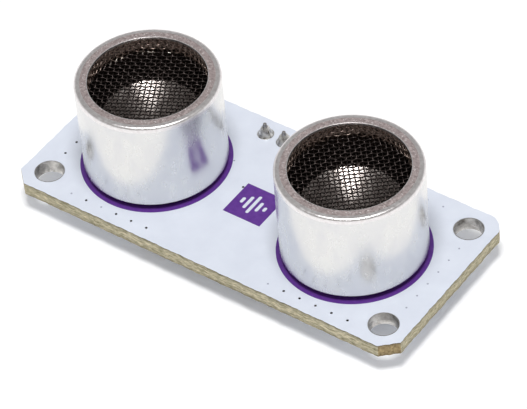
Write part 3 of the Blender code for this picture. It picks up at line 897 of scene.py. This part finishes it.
def make_can(side):
    inner = CAN_RADIUS - CAN_WALL
    outline = [
        (CAN_RADIUS, CAN_FOOT, 0.08 * MM, SIDE),
        (CAN_RADIUS, CAN_TOP - SHOULDER_ROUND * 1.05, 0, SHOULDER),
        (CAN_RADIUS, CAN_TOP, SHOULDER_ROUND, SHOULDER),
        (inner - RING_INSET, CAN_TOP, 0, RING),
        (OPENING_RADIUS + RUBBED_EDGE, CAN_TOP, 0, SHOULDER),
        (OPENING_RADIUS, CAN_TOP, 0.07 * MM, SHOULDER),
        (OPENING_RADIUS, CAN_TOP - LIP, 0.05 * MM, BEHIND),
        (inner, CAN_TOP - LIP, 0, BEHIND),
        (inner, SCREEN_FLOOR, 0, INSIDE),
        (inner, CAN_FOOT, 0.08 * MM, SIDE),
    ]
    mesh = turned(f"{side}_drawn_can", outline, 160, closed=True)
    finishes = [SATIN_SIDE, BRIGHT_SHOULDER, MOTTLED_RING, INSIDE_CAN, BEHIND_SCREEN]
    show_in_can(side, mesh, finishes, "can")


for side in SIDES:
    make_can(side)
print("cans turned at", [tuple(round(c / MM, 2) for c in AXIS[side]) for side in SIDES])

# %% [markdown]
# ## The woven screens
# The screen is a disc of black wire cloth pressed into a shallow cup: a flat floor, a tight bend, and a wall
# that goes up under the can's lip. A picture of a weave on a disc would stay flat, and light has to get
# through the real holes to reach the horn. So every wire is made. Each one is first laid out on a flat disc,
# going over and under the wires it crosses, and is then bent through the same press: a distance from the
# middle of the flat disc becomes a place on the floor, round the bend, or up the wall.
# The wire up the wall gets lighter tones than the floor: painted light for the light on the cup's wall. The
# receiver's cloth also gets a broken bright line along one side of the fold, which is a painted glint. Both
# depend on where a wire ends up in the cup, so the finish reads them from object coordinates.

# %% The screen's measures and finish
CLOTH_PITCH = 0.55 * MM
WIRE_RADIUS = 0.088 * MM
PRESS_BEND = 0.2 * MM
WALL_RADIUS = OPENING_RADIUS + 2 * WIRE_RADIUS
CLOTH_TOP = CAN_TOP - LIP - 0.1 * MM
CLOTH_TURN = {"receiver": math.radians(28), "transmitter": math.radians(41)}
STEPS_PER_CROSSING = 4
# The side of the fold that gets the painted glint, as a direction in plan.
PAINTED_GLINT_SIDE = (-0.73, 0.68, 0.0)


def make_screen_wire(name, painted_glint):
    """Blackened wire, painted lighter up the wall. painted_glint sets the painted glint on one side of the
    fold.
    """
    made = finish(
        name, (42, 36, 35), (80, 72, 70), 0.24, 0.40, size=0.3, relief=(0.08, 0.006), Metallic=0.92
    )
    tree, shader, colour = reopened(made)
    place = place_on_object(tree)
    height = height_in(tree, place)
    # Painted light: lighter tones for the wire up the wall stand in for light falling on the cup's wall.
    brightened = place_group(tree, TONED_GRAIN, Size=0.3, Dark=tone(104, 88, 80), Light=tone(184, 166, 156))
    up_wall = mapped(tree, height, SCREEN_FLOOR + 0.2 * MM, SCREEN_FLOOR + 0.4 * MM)
    colour = mix(tree, up_wall, colour, brightened["Colour"])
    in_plan = vectors(tree, "MULTIPLY", {0: place, 1: (1, 1, 0)})
    outwards = vectors(tree, "LENGTH", {0: in_plan}, "Value")
    aside = vectors(tree, "DOT_PRODUCT", {0: in_plan, 1: PAINTED_GLINT_SIDE}, "Value")
    # Painted glint: a broken bright line along one side of the fold, in the near-white colour below.
    painted_glint_mask = place_group(tree, SPECKS, Size=0.7, Amount=painted_glint)["Mask"]
    for mask in (
        mapped(tree, outwards, WALL_RADIUS - 0.26 * MM, WALL_RADIUS - 0.18 * MM),
        mapped(tree, aside, 0.80 * WALL_RADIUS, 0.88 * WALL_RADIUS),
        mapped(tree, height, SCREEN_FLOOR + 0.28 * MM, SCREEN_FLOOR + 0.20 * MM),
    ):
        painted_glint_mask = maths(tree, "MULTIPLY", painted_glint_mask, mask)
    feed(tree, shader["Base Color"], mix(tree, painted_glint_mask, colour, tone(240, 230, 220)))
    return made


SCREEN_WIRE = {
    "receiver": make_screen_wire("blackened wire with a painted glint", 0.7),
    "transmitter": make_screen_wire("blackened wire", 0.05),
}
print("screen finishes:", [made.name for made in SCREEN_WIRE.values()])

# %% Weave and press the cloth
FLOOR_END = WALL_RADIUS - PRESS_BEND
BEND_END = FLOOR_END + PRESS_BEND * math.pi / 2
CLOTH_REACH = BEND_END + CLOTH_TOP - SCREEN_FLOOR - PRESS_BEND


def pressed(distance):
    """Where a point of the flat cloth ends up: its radius, height and the way the cloth faces there."""
    if distance < FLOOR_END:
        return distance, SCREEN_FLOOR, 0.0, 1.0
    if distance < BEND_END:
        angle = (distance - FLOOR_END) / PRESS_BEND
        out, up = math.sin(angle), math.cos(angle)
        return FLOOR_END + PRESS_BEND * out, SCREEN_FLOOR + PRESS_BEND * (1 - up), -out, up
    return WALL_RADIUS, SCREEN_FLOOR + PRESS_BEND + distance - BEND_END, -1.0, 0.0


def woven_wire(offset, phase, heading):
    """One wire of the cloth, pressed into the cup."""
    half = math.sqrt(max(CLOTH_REACH**2 - offset**2, 0))
    step = CLOTH_PITCH / STEPS_PER_CROSSING
    count = int(half / step)
    cos, sin = math.cos(heading), math.sin(heading)
    route = []
    for i in range(-count, count + 1):
        u = i * step
        lift = WIRE_RADIUS * math.cos(math.pi * u / CLOTH_PITCH + phase)
        flat = Vector((u * cos - offset * sin, u * sin + offset * cos))
        radius, height, out, up = pressed(flat.length)
        flat.normalize()
        route.append((*(flat * (radius + out * lift)), height + up * lift))
    return route


def weave_screen(side):
    reach = int(CLOTH_REACH / CLOTH_PITCH)
    routes = []
    for heading, start in ((0.0, 0.0), (math.pi / 2, math.pi)):
        for k in range(-reach, reach + 1):
            route = woven_wire(k * CLOTH_PITCH, k * math.pi + start, CLOTH_TURN[side] + heading)
            if len(route) > 2:
                routes.append(route)
    cloth = wires(f"{side}_wire_cloth", routes, WIRE_RADIUS)
    show_in_can(side, cloth, [SCREEN_WIRE[side]], "screen")
    return len(routes)


print("wires in each screen:", [weave_screen(side) for side in SIDES])

# %% [markdown]
# ## Inside a can: the sounder
# Under the screen a light aluminium horn stands on a brass plate, and a ceramic disc under the plate bends it
# 40 000 times a second. The plate rests on a silicone ring on the plastic base, and two hair-thin wires join
# it to the pins. Little of this is seen through the cloth, but the horn catches the light in the middle of
# the can and gives the opening its depth, so it gets a smooth flared outline and not a plain cone.

# %% Make the sounder's finishes and pieces
HORN_METAL = metal(
    "spun aluminium", (156, 144, 139), (216, 208, 203), 0.20, 0.34, size=0.9, relief=(0.5, 0.006)
)
PLATE_BRASS = metal("plate brass", (190, 160, 98), (216, 188, 122), 0.25, 0.4, size=0.8)
DISC_SILVER = finish("silvered ceramic", (176, 172, 160), (206, 202, 190), 0.4, 0.6, size=0.6, Metallic=0.3)
SOFT_SILICONE = finish("silicone", (196, 196, 190), (220, 220, 214), 0.5, 0.7, size=1.2, relief=(0.3, 0.01))
BLACK_MOULDING = finish(
    "black moulding", (24, 24, 26), (40, 40, 43), 0.4, 0.6, size=0.9, relief=(0.12, 0.008)
)
TINNED_WIRE = metal(
    "tinned wire", (186, 184, 178), (222, 220, 214), 0.2, 0.4, size=0.3, relief=(0.2, 0.01)
)
HORN_STEPS = 14
HORN_WALL = 0.3 * MM
HORN_DIMPLE = 1.1 * MM
HORN_FLARE = 1.25
CUSHION_WIDTH = 1.0 * MM
CUSHION_GAP = 0.6 * MM
CUSHION_STEPS = 60
BASE_RING_HEIGHT = 0.6 * MM


def make_horn(side):
    """A thin flared cone round a flat dimple. It rises gently at first and more steeply at its rim."""
    low, high = above_board(f"{side}_horn")
    rim = radius_of(f"{side}_horn")
    under = []
    for k in range(HORN_STEPS + 1):
        t = k / HORN_STEPS
        rise = (high - low - HORN_WALL) * t**HORN_FLARE
        under.append((HORN_DIMPLE + (rim - HORN_DIMPLE) * t, low + rise))
    top = [(radius, height + HORN_WALL) for radius, height in under]
    outline = [(0, low + HORN_WALL), *top, *under[::-1], (0, low)]
    mesh = turned(f"{side}_flared_horn", outline, 96)
    show_in_can(side, mesh, [HORN_METAL], "horn", turn=CLOTH_TURN[side])


def make_disc(side, node, piece, made, rounding):
    low, high = above_board(f"{side}_{node}")
    radius = radius_of(f"{side}_{node}")
    outline = [(0, high), (radius, high, rounding), (radius, low, rounding), (0, low)]
    show_in_can(side, turned(f"{side}_{piece}", outline, 72), [made], node)


def make_cushion(side):
    """The silicone ring, open on one side where the disc's wire comes in."""
    low, high = above_board(f"{side}_cushion")
    outer = radius_of(f"{side}_cushion")
    half_gap = math.asin(CUSHION_GAP / outer)
    sweep = 2 * math.pi - 2 * half_gap
    angles = [math.pi / 2 + half_gap + sweep * k / CUSHION_STEPS for k in range(CUSHION_STEPS + 1)]
    outline = [(outer * math.cos(a), outer * math.sin(a)) for a in angles]
    inner = outer - CUSHION_WIDTH
    outline += [(inner * math.cos(a), inner * math.sin(a)) for a in angles[::-1]]
    mesh = sheet(f"{side}_silicone_ring", [outline], low, high)
    show_in_can(side, mesh, [SOFT_SILICONE], "cushion")


def make_base(side):
    """The moulded base: a disc with a raised ring for the cushion. Its edge shows under the can."""
    low, high = above_board(f"{side}_base")
    radius, ring = radius_of(f"{side}_base"), radius_of(f"{side}_cushion")
    floor = high - BASE_RING_HEIGHT
    outline = [
        (0, floor),
        (ring - CUSHION_WIDTH, floor),
        (ring - CUSHION_WIDTH, high, 0.05 * MM),
        (ring, high, 0.05 * MM),
        (ring, floor),
        (radius, floor, 0.1 * MM),
        (radius, low, 0.1 * MM),
        (0, low),
    ]
    show_in_can(side, turned(f"{side}_moulded_base", outline, 96), [BLACK_MOULDING], "base")


for side in SIDES:
    make_horn(side)
    make_disc(side, "vibrating_plate", "brass_plate", PLATE_BRASS, 0.05 * MM)
    make_disc(side, "piezo_disc", "ceramic_disc", DISC_SILVER, 0.04 * MM)
    make_cushion(side)
    make_base(side)
    for lead in ("lead_to_plate", "lead_to_disc"):
        recolour(f"{side}_{lead}", TINNED_WIRE)
print("sounders made")

# %% [markdown]
# ## Pins and solder
# Each transducer's two pins go through the board, are soldered underneath and cut off. The solder wets both
# the pad and the pin, so its side is hollow, steep at the pin and thin at the edge. On top of the board the
# socket's five contacts are soldered the same way, each with a cut tail in a fuller mound. A turned hollow
# outline gives that shape, and pushing its points about by a little noise takes away the look of a machined
# part. Every mound sits on a bare copper pad, which shows as a thin bright rim.

# %% Solder finishes and shapes
SOLDER = metal(
    "bright solder", (136, 132, 130), (236, 235, 231), 0.20, 0.42, size=0.45, relief=(0.3, 0.06)
)
TINNED_PAD = metal(
    "tinned pad", (188, 187, 182), (216, 215, 210), 0.25, 0.4, size=0.4, relief=(0.2, 0.01)
)
CUT_TAIL = metal("cut tail", (96, 92, 94), (190, 188, 186), 0.3, 0.5, size=0.2, relief=(0.1, 0.02))
HOLLOW, BULGING = 2.2, 0.75
TAIL_RADIUS = 0.3 * MM
PAD_THICKNESS = 0.03 * MM
PAD_RING = 0.15 * MM
PIN_PAD_HOLE = 0.6 * MM
CONTACT_PAD = 0.95 * MM
CONTACT_PAD_HOLE = 0.4 * MM
SEED = 7
LUMPS = np.random.default_rng(SEED)


def solder_outline(bore, foot, height, fullness):
    """From the tip of the mound down its side. A fullness over 1 is hollow and under 1 bulges."""
    steps = [k / 8 for k in range(9)]
    side = [(bore + (foot - bore) * t**fullness, height * (1 - t)) for t in steps]
    return [(0, height * 1.02), *side, (0, 0)]


def roughen(mesh, amount):
    """Moves each point above the pad a little, by smooth waves with random phases."""
    phase = LUMPS.uniform(0, 2 * math.pi, 3)
    for vert in mesh.vertices:
        spot = vert.co / MM
        waves = [math.sin(k * c + p) for k, c, p in zip((5, 5, 4), spot, phase)]
        if vert.co.z > 0.05 * MM:
            vert.co += Vector((spot.x, spot.y, 0)) * (amount * sum(waves) * MM)
    return mesh


UPSIDE_DOWN = Matrix.Rotation(math.pi, 4, "X")


def make_pad(name, at, radius, hole, flip):
    mesh = sheet(name, [round_points((0, 0), radius, 48), round_points((0, 0), hole, 32)], 0, PAD_THICKNESS)
    if flip:
        mesh.transform(UPSIDE_DOWN)
    show(mesh, [TINNED_PAD], at=at)


def make_pin_joints():
    for side in SIDES:
        for end in ("front", "back"):
            pin, joint = f"{side}_pin_{end}", f"{side}_solder_{end}"
            low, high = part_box(pin)
            spot, radius = middle(pin), radius_of(pin)
            outline = [(0, high.z), (radius, high.z, 0.12 * MM)]
            outline += [(radius, low.z, 0.08 * MM, 1), (0, low.z, 0, 1)]
            mesh = turned(f"{side}_{end}_round_pin", outline, 40)
            show(mesh, [TINNED_WIRE, CUT_TAIL], [pin], at=(*spot.xy, 0))
            foot, height = radius_of(joint), (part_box(joint)[1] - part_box(joint)[0]).z
            mound = turned(f"{side}_{end}_solder_fillet", solder_outline(radius, foot, height, HOLLOW), 40)
            roughen(mound, 0.02)
            mound.transform(UPSIDE_DOWN)
            place = (*spot.xy, BOARD_BOTTOM - PAD_THICKNESS)
            show(mound, [SOLDER], [joint], at=place)
            make_pad(f"{side}_{end}_pad", (*spot.xy, BOARD_BOTTOM), foot + PAD_RING, PIN_PAD_HOLE, True)


def make_contact_joints():
    for i, spot in enumerate(CONTACTS, start=1):
        joint = f"socket_solder_{i}"
        low, high = above_board(joint)
        outline = solder_outline(TAIL_RADIUS, radius_of(joint), high - low, BULGING)
        mound = turned(f"contact_{i}_solder", outline, 48)
        roughen(mound, 0.05)
        show(mound, [SOLDER], [joint], at=(*spot, BOARD_TOP + 0.02 * MM))
        make_pad(f"contact_{i}_pad", (*spot, BOARD_TOP), CONTACT_PAD, CONTACT_PAD_HOLE, False)


make_pin_joints()
make_contact_joints()
print("solder joints:", len(PINS) + len(CONTACTS))

# %% [markdown]
# ## The wiring socket
# Under the back edge sits a low five-way strip of black plastic with turned, gold-plated contacts. A header
# pushes in from below, and each contact's tail is what shows as a cut tip in its solder mound on top.

# %% Socket strip and contacts
GOLD = metal("gold plating", (214, 176, 98), (238, 206, 132), 0.18, 0.3, size=0.3)
CONTACT_BORE = 0.36 * MM
BORE_ROOF = 0.5 * MM
TAIL_TIP_RADIUS = 0.2 * MM
TAIL_TAPER = 0.8 * MM


def make_contacts():
    for i, spot in enumerate(CONTACTS, start=1):
        node = f"socket_contact_{i}"
        low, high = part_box(node)
        radius, top = radius_of(node), BOARD_BOTTOM - 0.1 * MM
        outline = [
            (0, high.z, 0, 1),
            (TAIL_TIP_RADIUS, high.z - 0.06 * MM, 0.05 * MM, 1),
            (TAIL_RADIUS, BOARD_TOP + TAIL_TAPER),
            (TAIL_RADIUS, BOARD_TOP),
            (TAIL_RADIUS, top),
            (radius, top, 0.06 * MM),
            (radius, low.z, 0.08 * MM),
            (CONTACT_BORE, low.z + 0.12 * MM),
            (CONTACT_BORE, top - BORE_ROOF),
            (0, top - BORE_ROOF),
        ]
        mesh = turned(f"turned_contact_{i}", outline, 40)
        show(mesh, [GOLD, CUT_TAIL], [node], at=(*spot, 0))


make_contacts()
recolour("socket_strip", BLACK_MOULDING)
print("contacts:", len(CONTACTS))

# %% [markdown]
# ## The circuit under the board
# Three chips, a crystal, a transistor and a row of small parts are soldered to the underside. A chip is a
# moulded block with a round mark beside its first lead and gull-wing leads: out of the side, down, and flat
# on the pad. The smaller parts are ceramic blocks with tinned ends. Each one is built to the size of its own
# CAD node's box and hangs upside down from the board, so the builder functions count heights downwards.

# %% Finishes of the small parts
CHIP_BLACK = finish("chip moulding", (30, 30, 32), (46, 46, 48), 0.45, 0.62, size=0.4, relief=(0.08, 0.01))
CHIP_MARK = finish("chip mark", (66, 66, 68), (84, 84, 86), 0.3, 0.4, size=0.3)
CAPACITOR_TAN = finish(
    "capacitor ceramic", (148, 118, 86), (178, 148, 112), 0.35, 0.5, size=0.4, relief=(0.1, 0.004)
)
TANTALUM = finish("yellow moulding", (206, 158, 40), (228, 184, 66), 0.4, 0.55, size=0.5, relief=(0.1, 0.006))
RESISTOR_TOP = finish("resistor glass", (26, 27, 30), (40, 41, 44), 0.2, 0.35, size=0.3)
RESISTOR_CERAMIC = finish("resistor ceramic", (216, 214, 208), (232, 230, 226), 0.5, 0.65, size=0.3)
CRYSTAL_LID = metal(
    "plated lid", (196, 190, 176), (220, 214, 202), 0.22, 0.36, size=0.8, relief=(0.4, 0.006)
)

# %% Build them
LEAD_WIDTH = 0.42 * MM
LEAD_THICKNESS = 0.2 * MM
LEAD_FOOT = 0.6 * MM
LEAD_BEND = 0.12 * MM
CHIP_PITCH = 1.27 * MM
CHIP_BODY = 3.9 * MM
TRANSISTOR_PITCH = 1.9 * MM
TRANSISTOR_BODY = 1.3 * MM
STAND_OFF = 0.05 * MM


def hanging(node):
    """The place just under the board that a small part hangs from, and the part's size."""
    low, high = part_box(node)
    centre = (low + high) / 2
    return Vector((centre.x, centre.y, BOARD_BOTTOM - STAND_OFF)), high - low


def gull_wing(bm, at, way, body_half, foot_end, drop):
    """One lead, as a bent strip. Its centre line lies across the chip, with heights down from the board."""
    knee, sole = foot_end - LEAD_FOOT, LEAD_THICKNESS / 2
    centre_line = [
        Vector((body_half - 0.1 * MM, drop)),
        Vector((knee - LEAD_BEND, drop)),
        Vector((knee, drop - LEAD_BEND)),
        Vector((knee + 0.05 * MM, sole + LEAD_BEND)),
        Vector((knee + 0.05 * MM + LEAD_BEND, sole)),
        Vector((foot_end, sole)),
    ]
    rings = []
    for i, point in enumerate(centre_line):
        before, after = centre_line[max(i - 1, 0)], centre_line[min(i + 1, len(centre_line) - 1)]
        along = (after - before).normalized()
        across = Vector((-along.y, along.x)) * sole
        ring = []
        for side, half in ((1, 1), (-1, 1), (-1, -1), (1, -1)):
            spot = point + across * side
            ring.append(bm.verts.new((at + half * LEAD_WIDTH / 2, way * spot.x, -spot.y)))
        rings.append(ring)
    faces = [bm.faces.new(rings[0]), bm.faces.new(rings[-1])]
    for here, there in zip(rings, rings[1:]):
        for k in range(4):
            n = (k + 1) % 4
            faces.append(bm.faces.new((here[k], here[n], there[n], there[k])))
    for face in faces:
        face.material_index = 1


def make_chip(node, leads, pitch, body_depth):
    """A moulded chip. leads lists (place along the body in pitches, way)."""
    place, size = hanging(node)
    height = size.z

    def build(bm):
        body = (size.x, body_depth, height - 0.12 * MM)
        block(bm, body, (0, 0, -(height + 0.1 * MM) / 2), 0.12 * MM)
        for along, way in leads:
            gull_wing(bm, along * pitch, way, body_depth / 2, size.y / 2, height * 0.5)
        dot = bmesh.ops.create_circle(bm, cap_ends=True, radius=0.28 * MM, segments=20)["verts"]
        corner = (-size.x / 2 + 0.75 * MM, -body_depth / 2 + 0.7 * MM, -height + 0.005 * MM)
        bmesh.ops.translate(bm, vec=corner, verts=dot)
        dot[0].link_faces[0].material_index = 2

    mesh = built(f"{node}_package", build)
    show(mesh, [CHIP_BLACK, TINNED_WIRE, CHIP_MARK], [node], at=place)


def make_chips():
    for node, count in (("transmit_driver", 8), ("receive_amplifier", 7), ("microcontroller", 7)):
        leads = [(k - (count - 1) / 2, way) for k in range(count) for way in (-1, 1)]
        make_chip(node, leads, CHIP_PITCH, CHIP_BODY)
    make_chip("threshold_transistor", [(-0.5, -1), (0.5, -1), (0, 1)], TRANSISTOR_PITCH, TRANSISTOR_BODY)


def make_ended_block(node, finishes, end_length, along=1, lid=False):
    """A small part with tinned ends. along is 0 where the ends face X and 1 where they face Y."""
    place, size = hanging(node)
    body = Vector(size) - Vector([0.02 * MM if k == along else 0.06 * MM for k in range(3)])

    def build(bm):
        block(bm, body, (0, 0, -size.z / 2), 0.04 * MM, slot=0)
        for way in (-1, 1):
            end = Vector(size)
            end[along] = end_length
            spot = Vector((0, 0, -size.z / 2))
            spot[along] = way * (size[along] - end_length) / 2
            block(bm, end, spot, 0.06 * MM, slot=1)
        if lid:
            top = Vector((size.x - 0.14 * MM, size.y - 2 * end_length, 0.03 * MM))
            block(bm, top, (0, 0, -size.z + 0.018 * MM), 0.0, slot=2)

    show(built(f"{node}_body", build), finishes, [node], at=place)


KINDS = ("driver_capacitor", "filter_capacitor", "bypass_capacitor")
CAPACITORS = [f"{kind}_{i}" for kind in KINDS for i in (1, 2)]
RESISTORS = [f"resistor_{i}" for i in range(1, 9)]


def make_small_parts():
    for node in CAPACITORS:
        make_ended_block(node, [CAPACITOR_TAN, TINNED_PAD], 0.4 * MM)
    for node in RESISTORS:
        make_ended_block(node, [RESISTOR_CERAMIC, TINNED_PAD, RESISTOR_TOP], 0.3 * MM, lid=True)
    make_ended_block("supply_capacitor", [TANTALUM, TINNED_PAD], 0.25 * MM, along=0)


def make_crystal():
    """A ceramic base with a narrower metal lid."""
    place, size = hanging("crystal")
    step = 0.5 * MM

    def build(bm):
        block(bm, (size.x, size.y, size.z * 0.6), (0, 0, -size.z * 0.3), 0.08 * MM, slot=0)
        block(bm, (size.x - step, size.y - step, size.z * 0.45), (0, 0, -size.z * 0.775), 0.12 * MM, slot=1)

    show(built("crystal_can", build), [RESISTOR_CERAMIC, CRYSTAL_LID], ["crystal"], at=place)


make_chips()
make_small_parts()
make_crystal()
print("chips and small parts made")

# %% [markdown]
# ## Pads and tracks
# Copper tracks run under the mask, where they show only as low ridges, and end in bare tinned pads under each
# lead. A round wire that is sunk almost wholly into the board leaves just such a ridge, with soft edges, so
# the tracks are wires again. The pads are flat plates a few hundredths of a millimetre thick.

# %% Lay the pads and tracks
TRACK_RADIUS = 0.25 * MM
TRACK_RIDGE = 0.025 * MM
TRACK_HEIGHT = BOARD_BOTTOM + TRACK_RADIUS - TRACK_RIDGE
PAD_MARGIN = 0.12 * MM
COVERED_TRACK = finish("mask over copper", (206, 213, 228), (216, 222, 236), 0.3, 0.42, size=2.0)


def lead_places(node, count):
    """Where a chip's feet stand, as one row for each long side, front row first."""
    place, size = hanging(node)
    reach = size.y / 2 - LEAD_FOOT / 2
    xs = [place.x + (k - (count - 1) / 2) * CHIP_PITCH for k in range(count)]
    return [[Vector((x, place.y + way * reach)) for x in xs] for way in (-1, 1)]


LEADS = {
    "transmit_driver": lead_places("transmit_driver", 8),
    "receive_amplifier": lead_places("receive_amplifier", 7),
    "microcontroller": lead_places("microcontroller", 7),
}


def lay_pads():
    def build(bm):
        for rows in LEADS.values():
            for spot in rows[0] + rows[1]:
                size = (LEAD_WIDTH + PAD_MARGIN, LEAD_FOOT + 4 * PAD_MARGIN, PAD_THICKNESS)
                block(bm, size, (spot.x, spot.y, BOARD_BOTTOM - PAD_THICKNESS / 2), 0)
        for node in CAPACITORS + RESISTORS:
            centre, size = hanging(node)
            for way in (-1, 1):
                plate = (size.x + 2 * PAD_MARGIN, size.y * 0.42, PAD_THICKNESS)
                place = (centre.x, centre.y + way * size.y * 0.38, BOARD_BOTTOM - PAD_THICKNESS / 2)
                block(bm, plate, place, 0)

    show(built("underside_pads", build), [TINNED_PAD])


def bent_track(start, end, bend):
    """A track that leaves both ends along Y and crosses between them on a slant that starts at y = bend."""
    slant = math.copysign(abs(end.x - start.x), end.y - start.y)
    corners = [start, (start.x, bend), (end.x, bend + slant), end]
    return [(*corner, TRACK_HEIGHT) for corner in corners]


def lay_tracks():
    routes = []
    front, back = LEADS["microcontroller"]
    for k, lead in enumerate(front):
        target = Vector(middle(f"resistor_{k + 1}").xy)
        routes.append(bent_track(lead, target, lead.y - (1.0 + 0.25 * abs(k - 3)) * MM))
    for contact, lead in ((1, back[1]), (3, back[5])):
        routes.append(bent_track(CONTACTS[contact], lead, CONTACTS[contact].y - 3 * MM))
    for side, chip in (("transmitter", "transmit_driver"), ("receiver", "receive_amplifier")):
        rows = LEADS[chip]
        for end, row, way in (("front", rows[0], 1), ("back", rows[1], -1)):
            pin = Vector(middle(f"{side}_pin_{end}").xy)
            routes.append(bent_track(pin, row[3], pin.y + way * 0.6 * MM))
    for chip, lead, other in (("receive_amplifier", 6, 0), ("transmit_driver", 0, 6)):
        for row, way in ((0, -1), (1, 1)):
            start, end = LEADS[chip][row][lead], LEADS["microcontroller"][row][other]
            side = math.copysign(0.5 * MM, end.x - start.x)
            out = start.y + way * 0.9 * MM
            corners = [start, (start.x, out), (start.x + side, out + way * 0.5 * MM)]
            corners += [(end.x - side, out + way * 0.5 * MM), (end.x, out), end]
            routes.append([(*corner, TRACK_HEIGHT) for corner in corners])
    tracks = wires("underside_tracks", routes, TRACK_RADIUS, detail=3)
    show(tracks, [COVERED_TRACK])
    return len(routes)


lay_pads()
print("tracks:", lay_tracks())
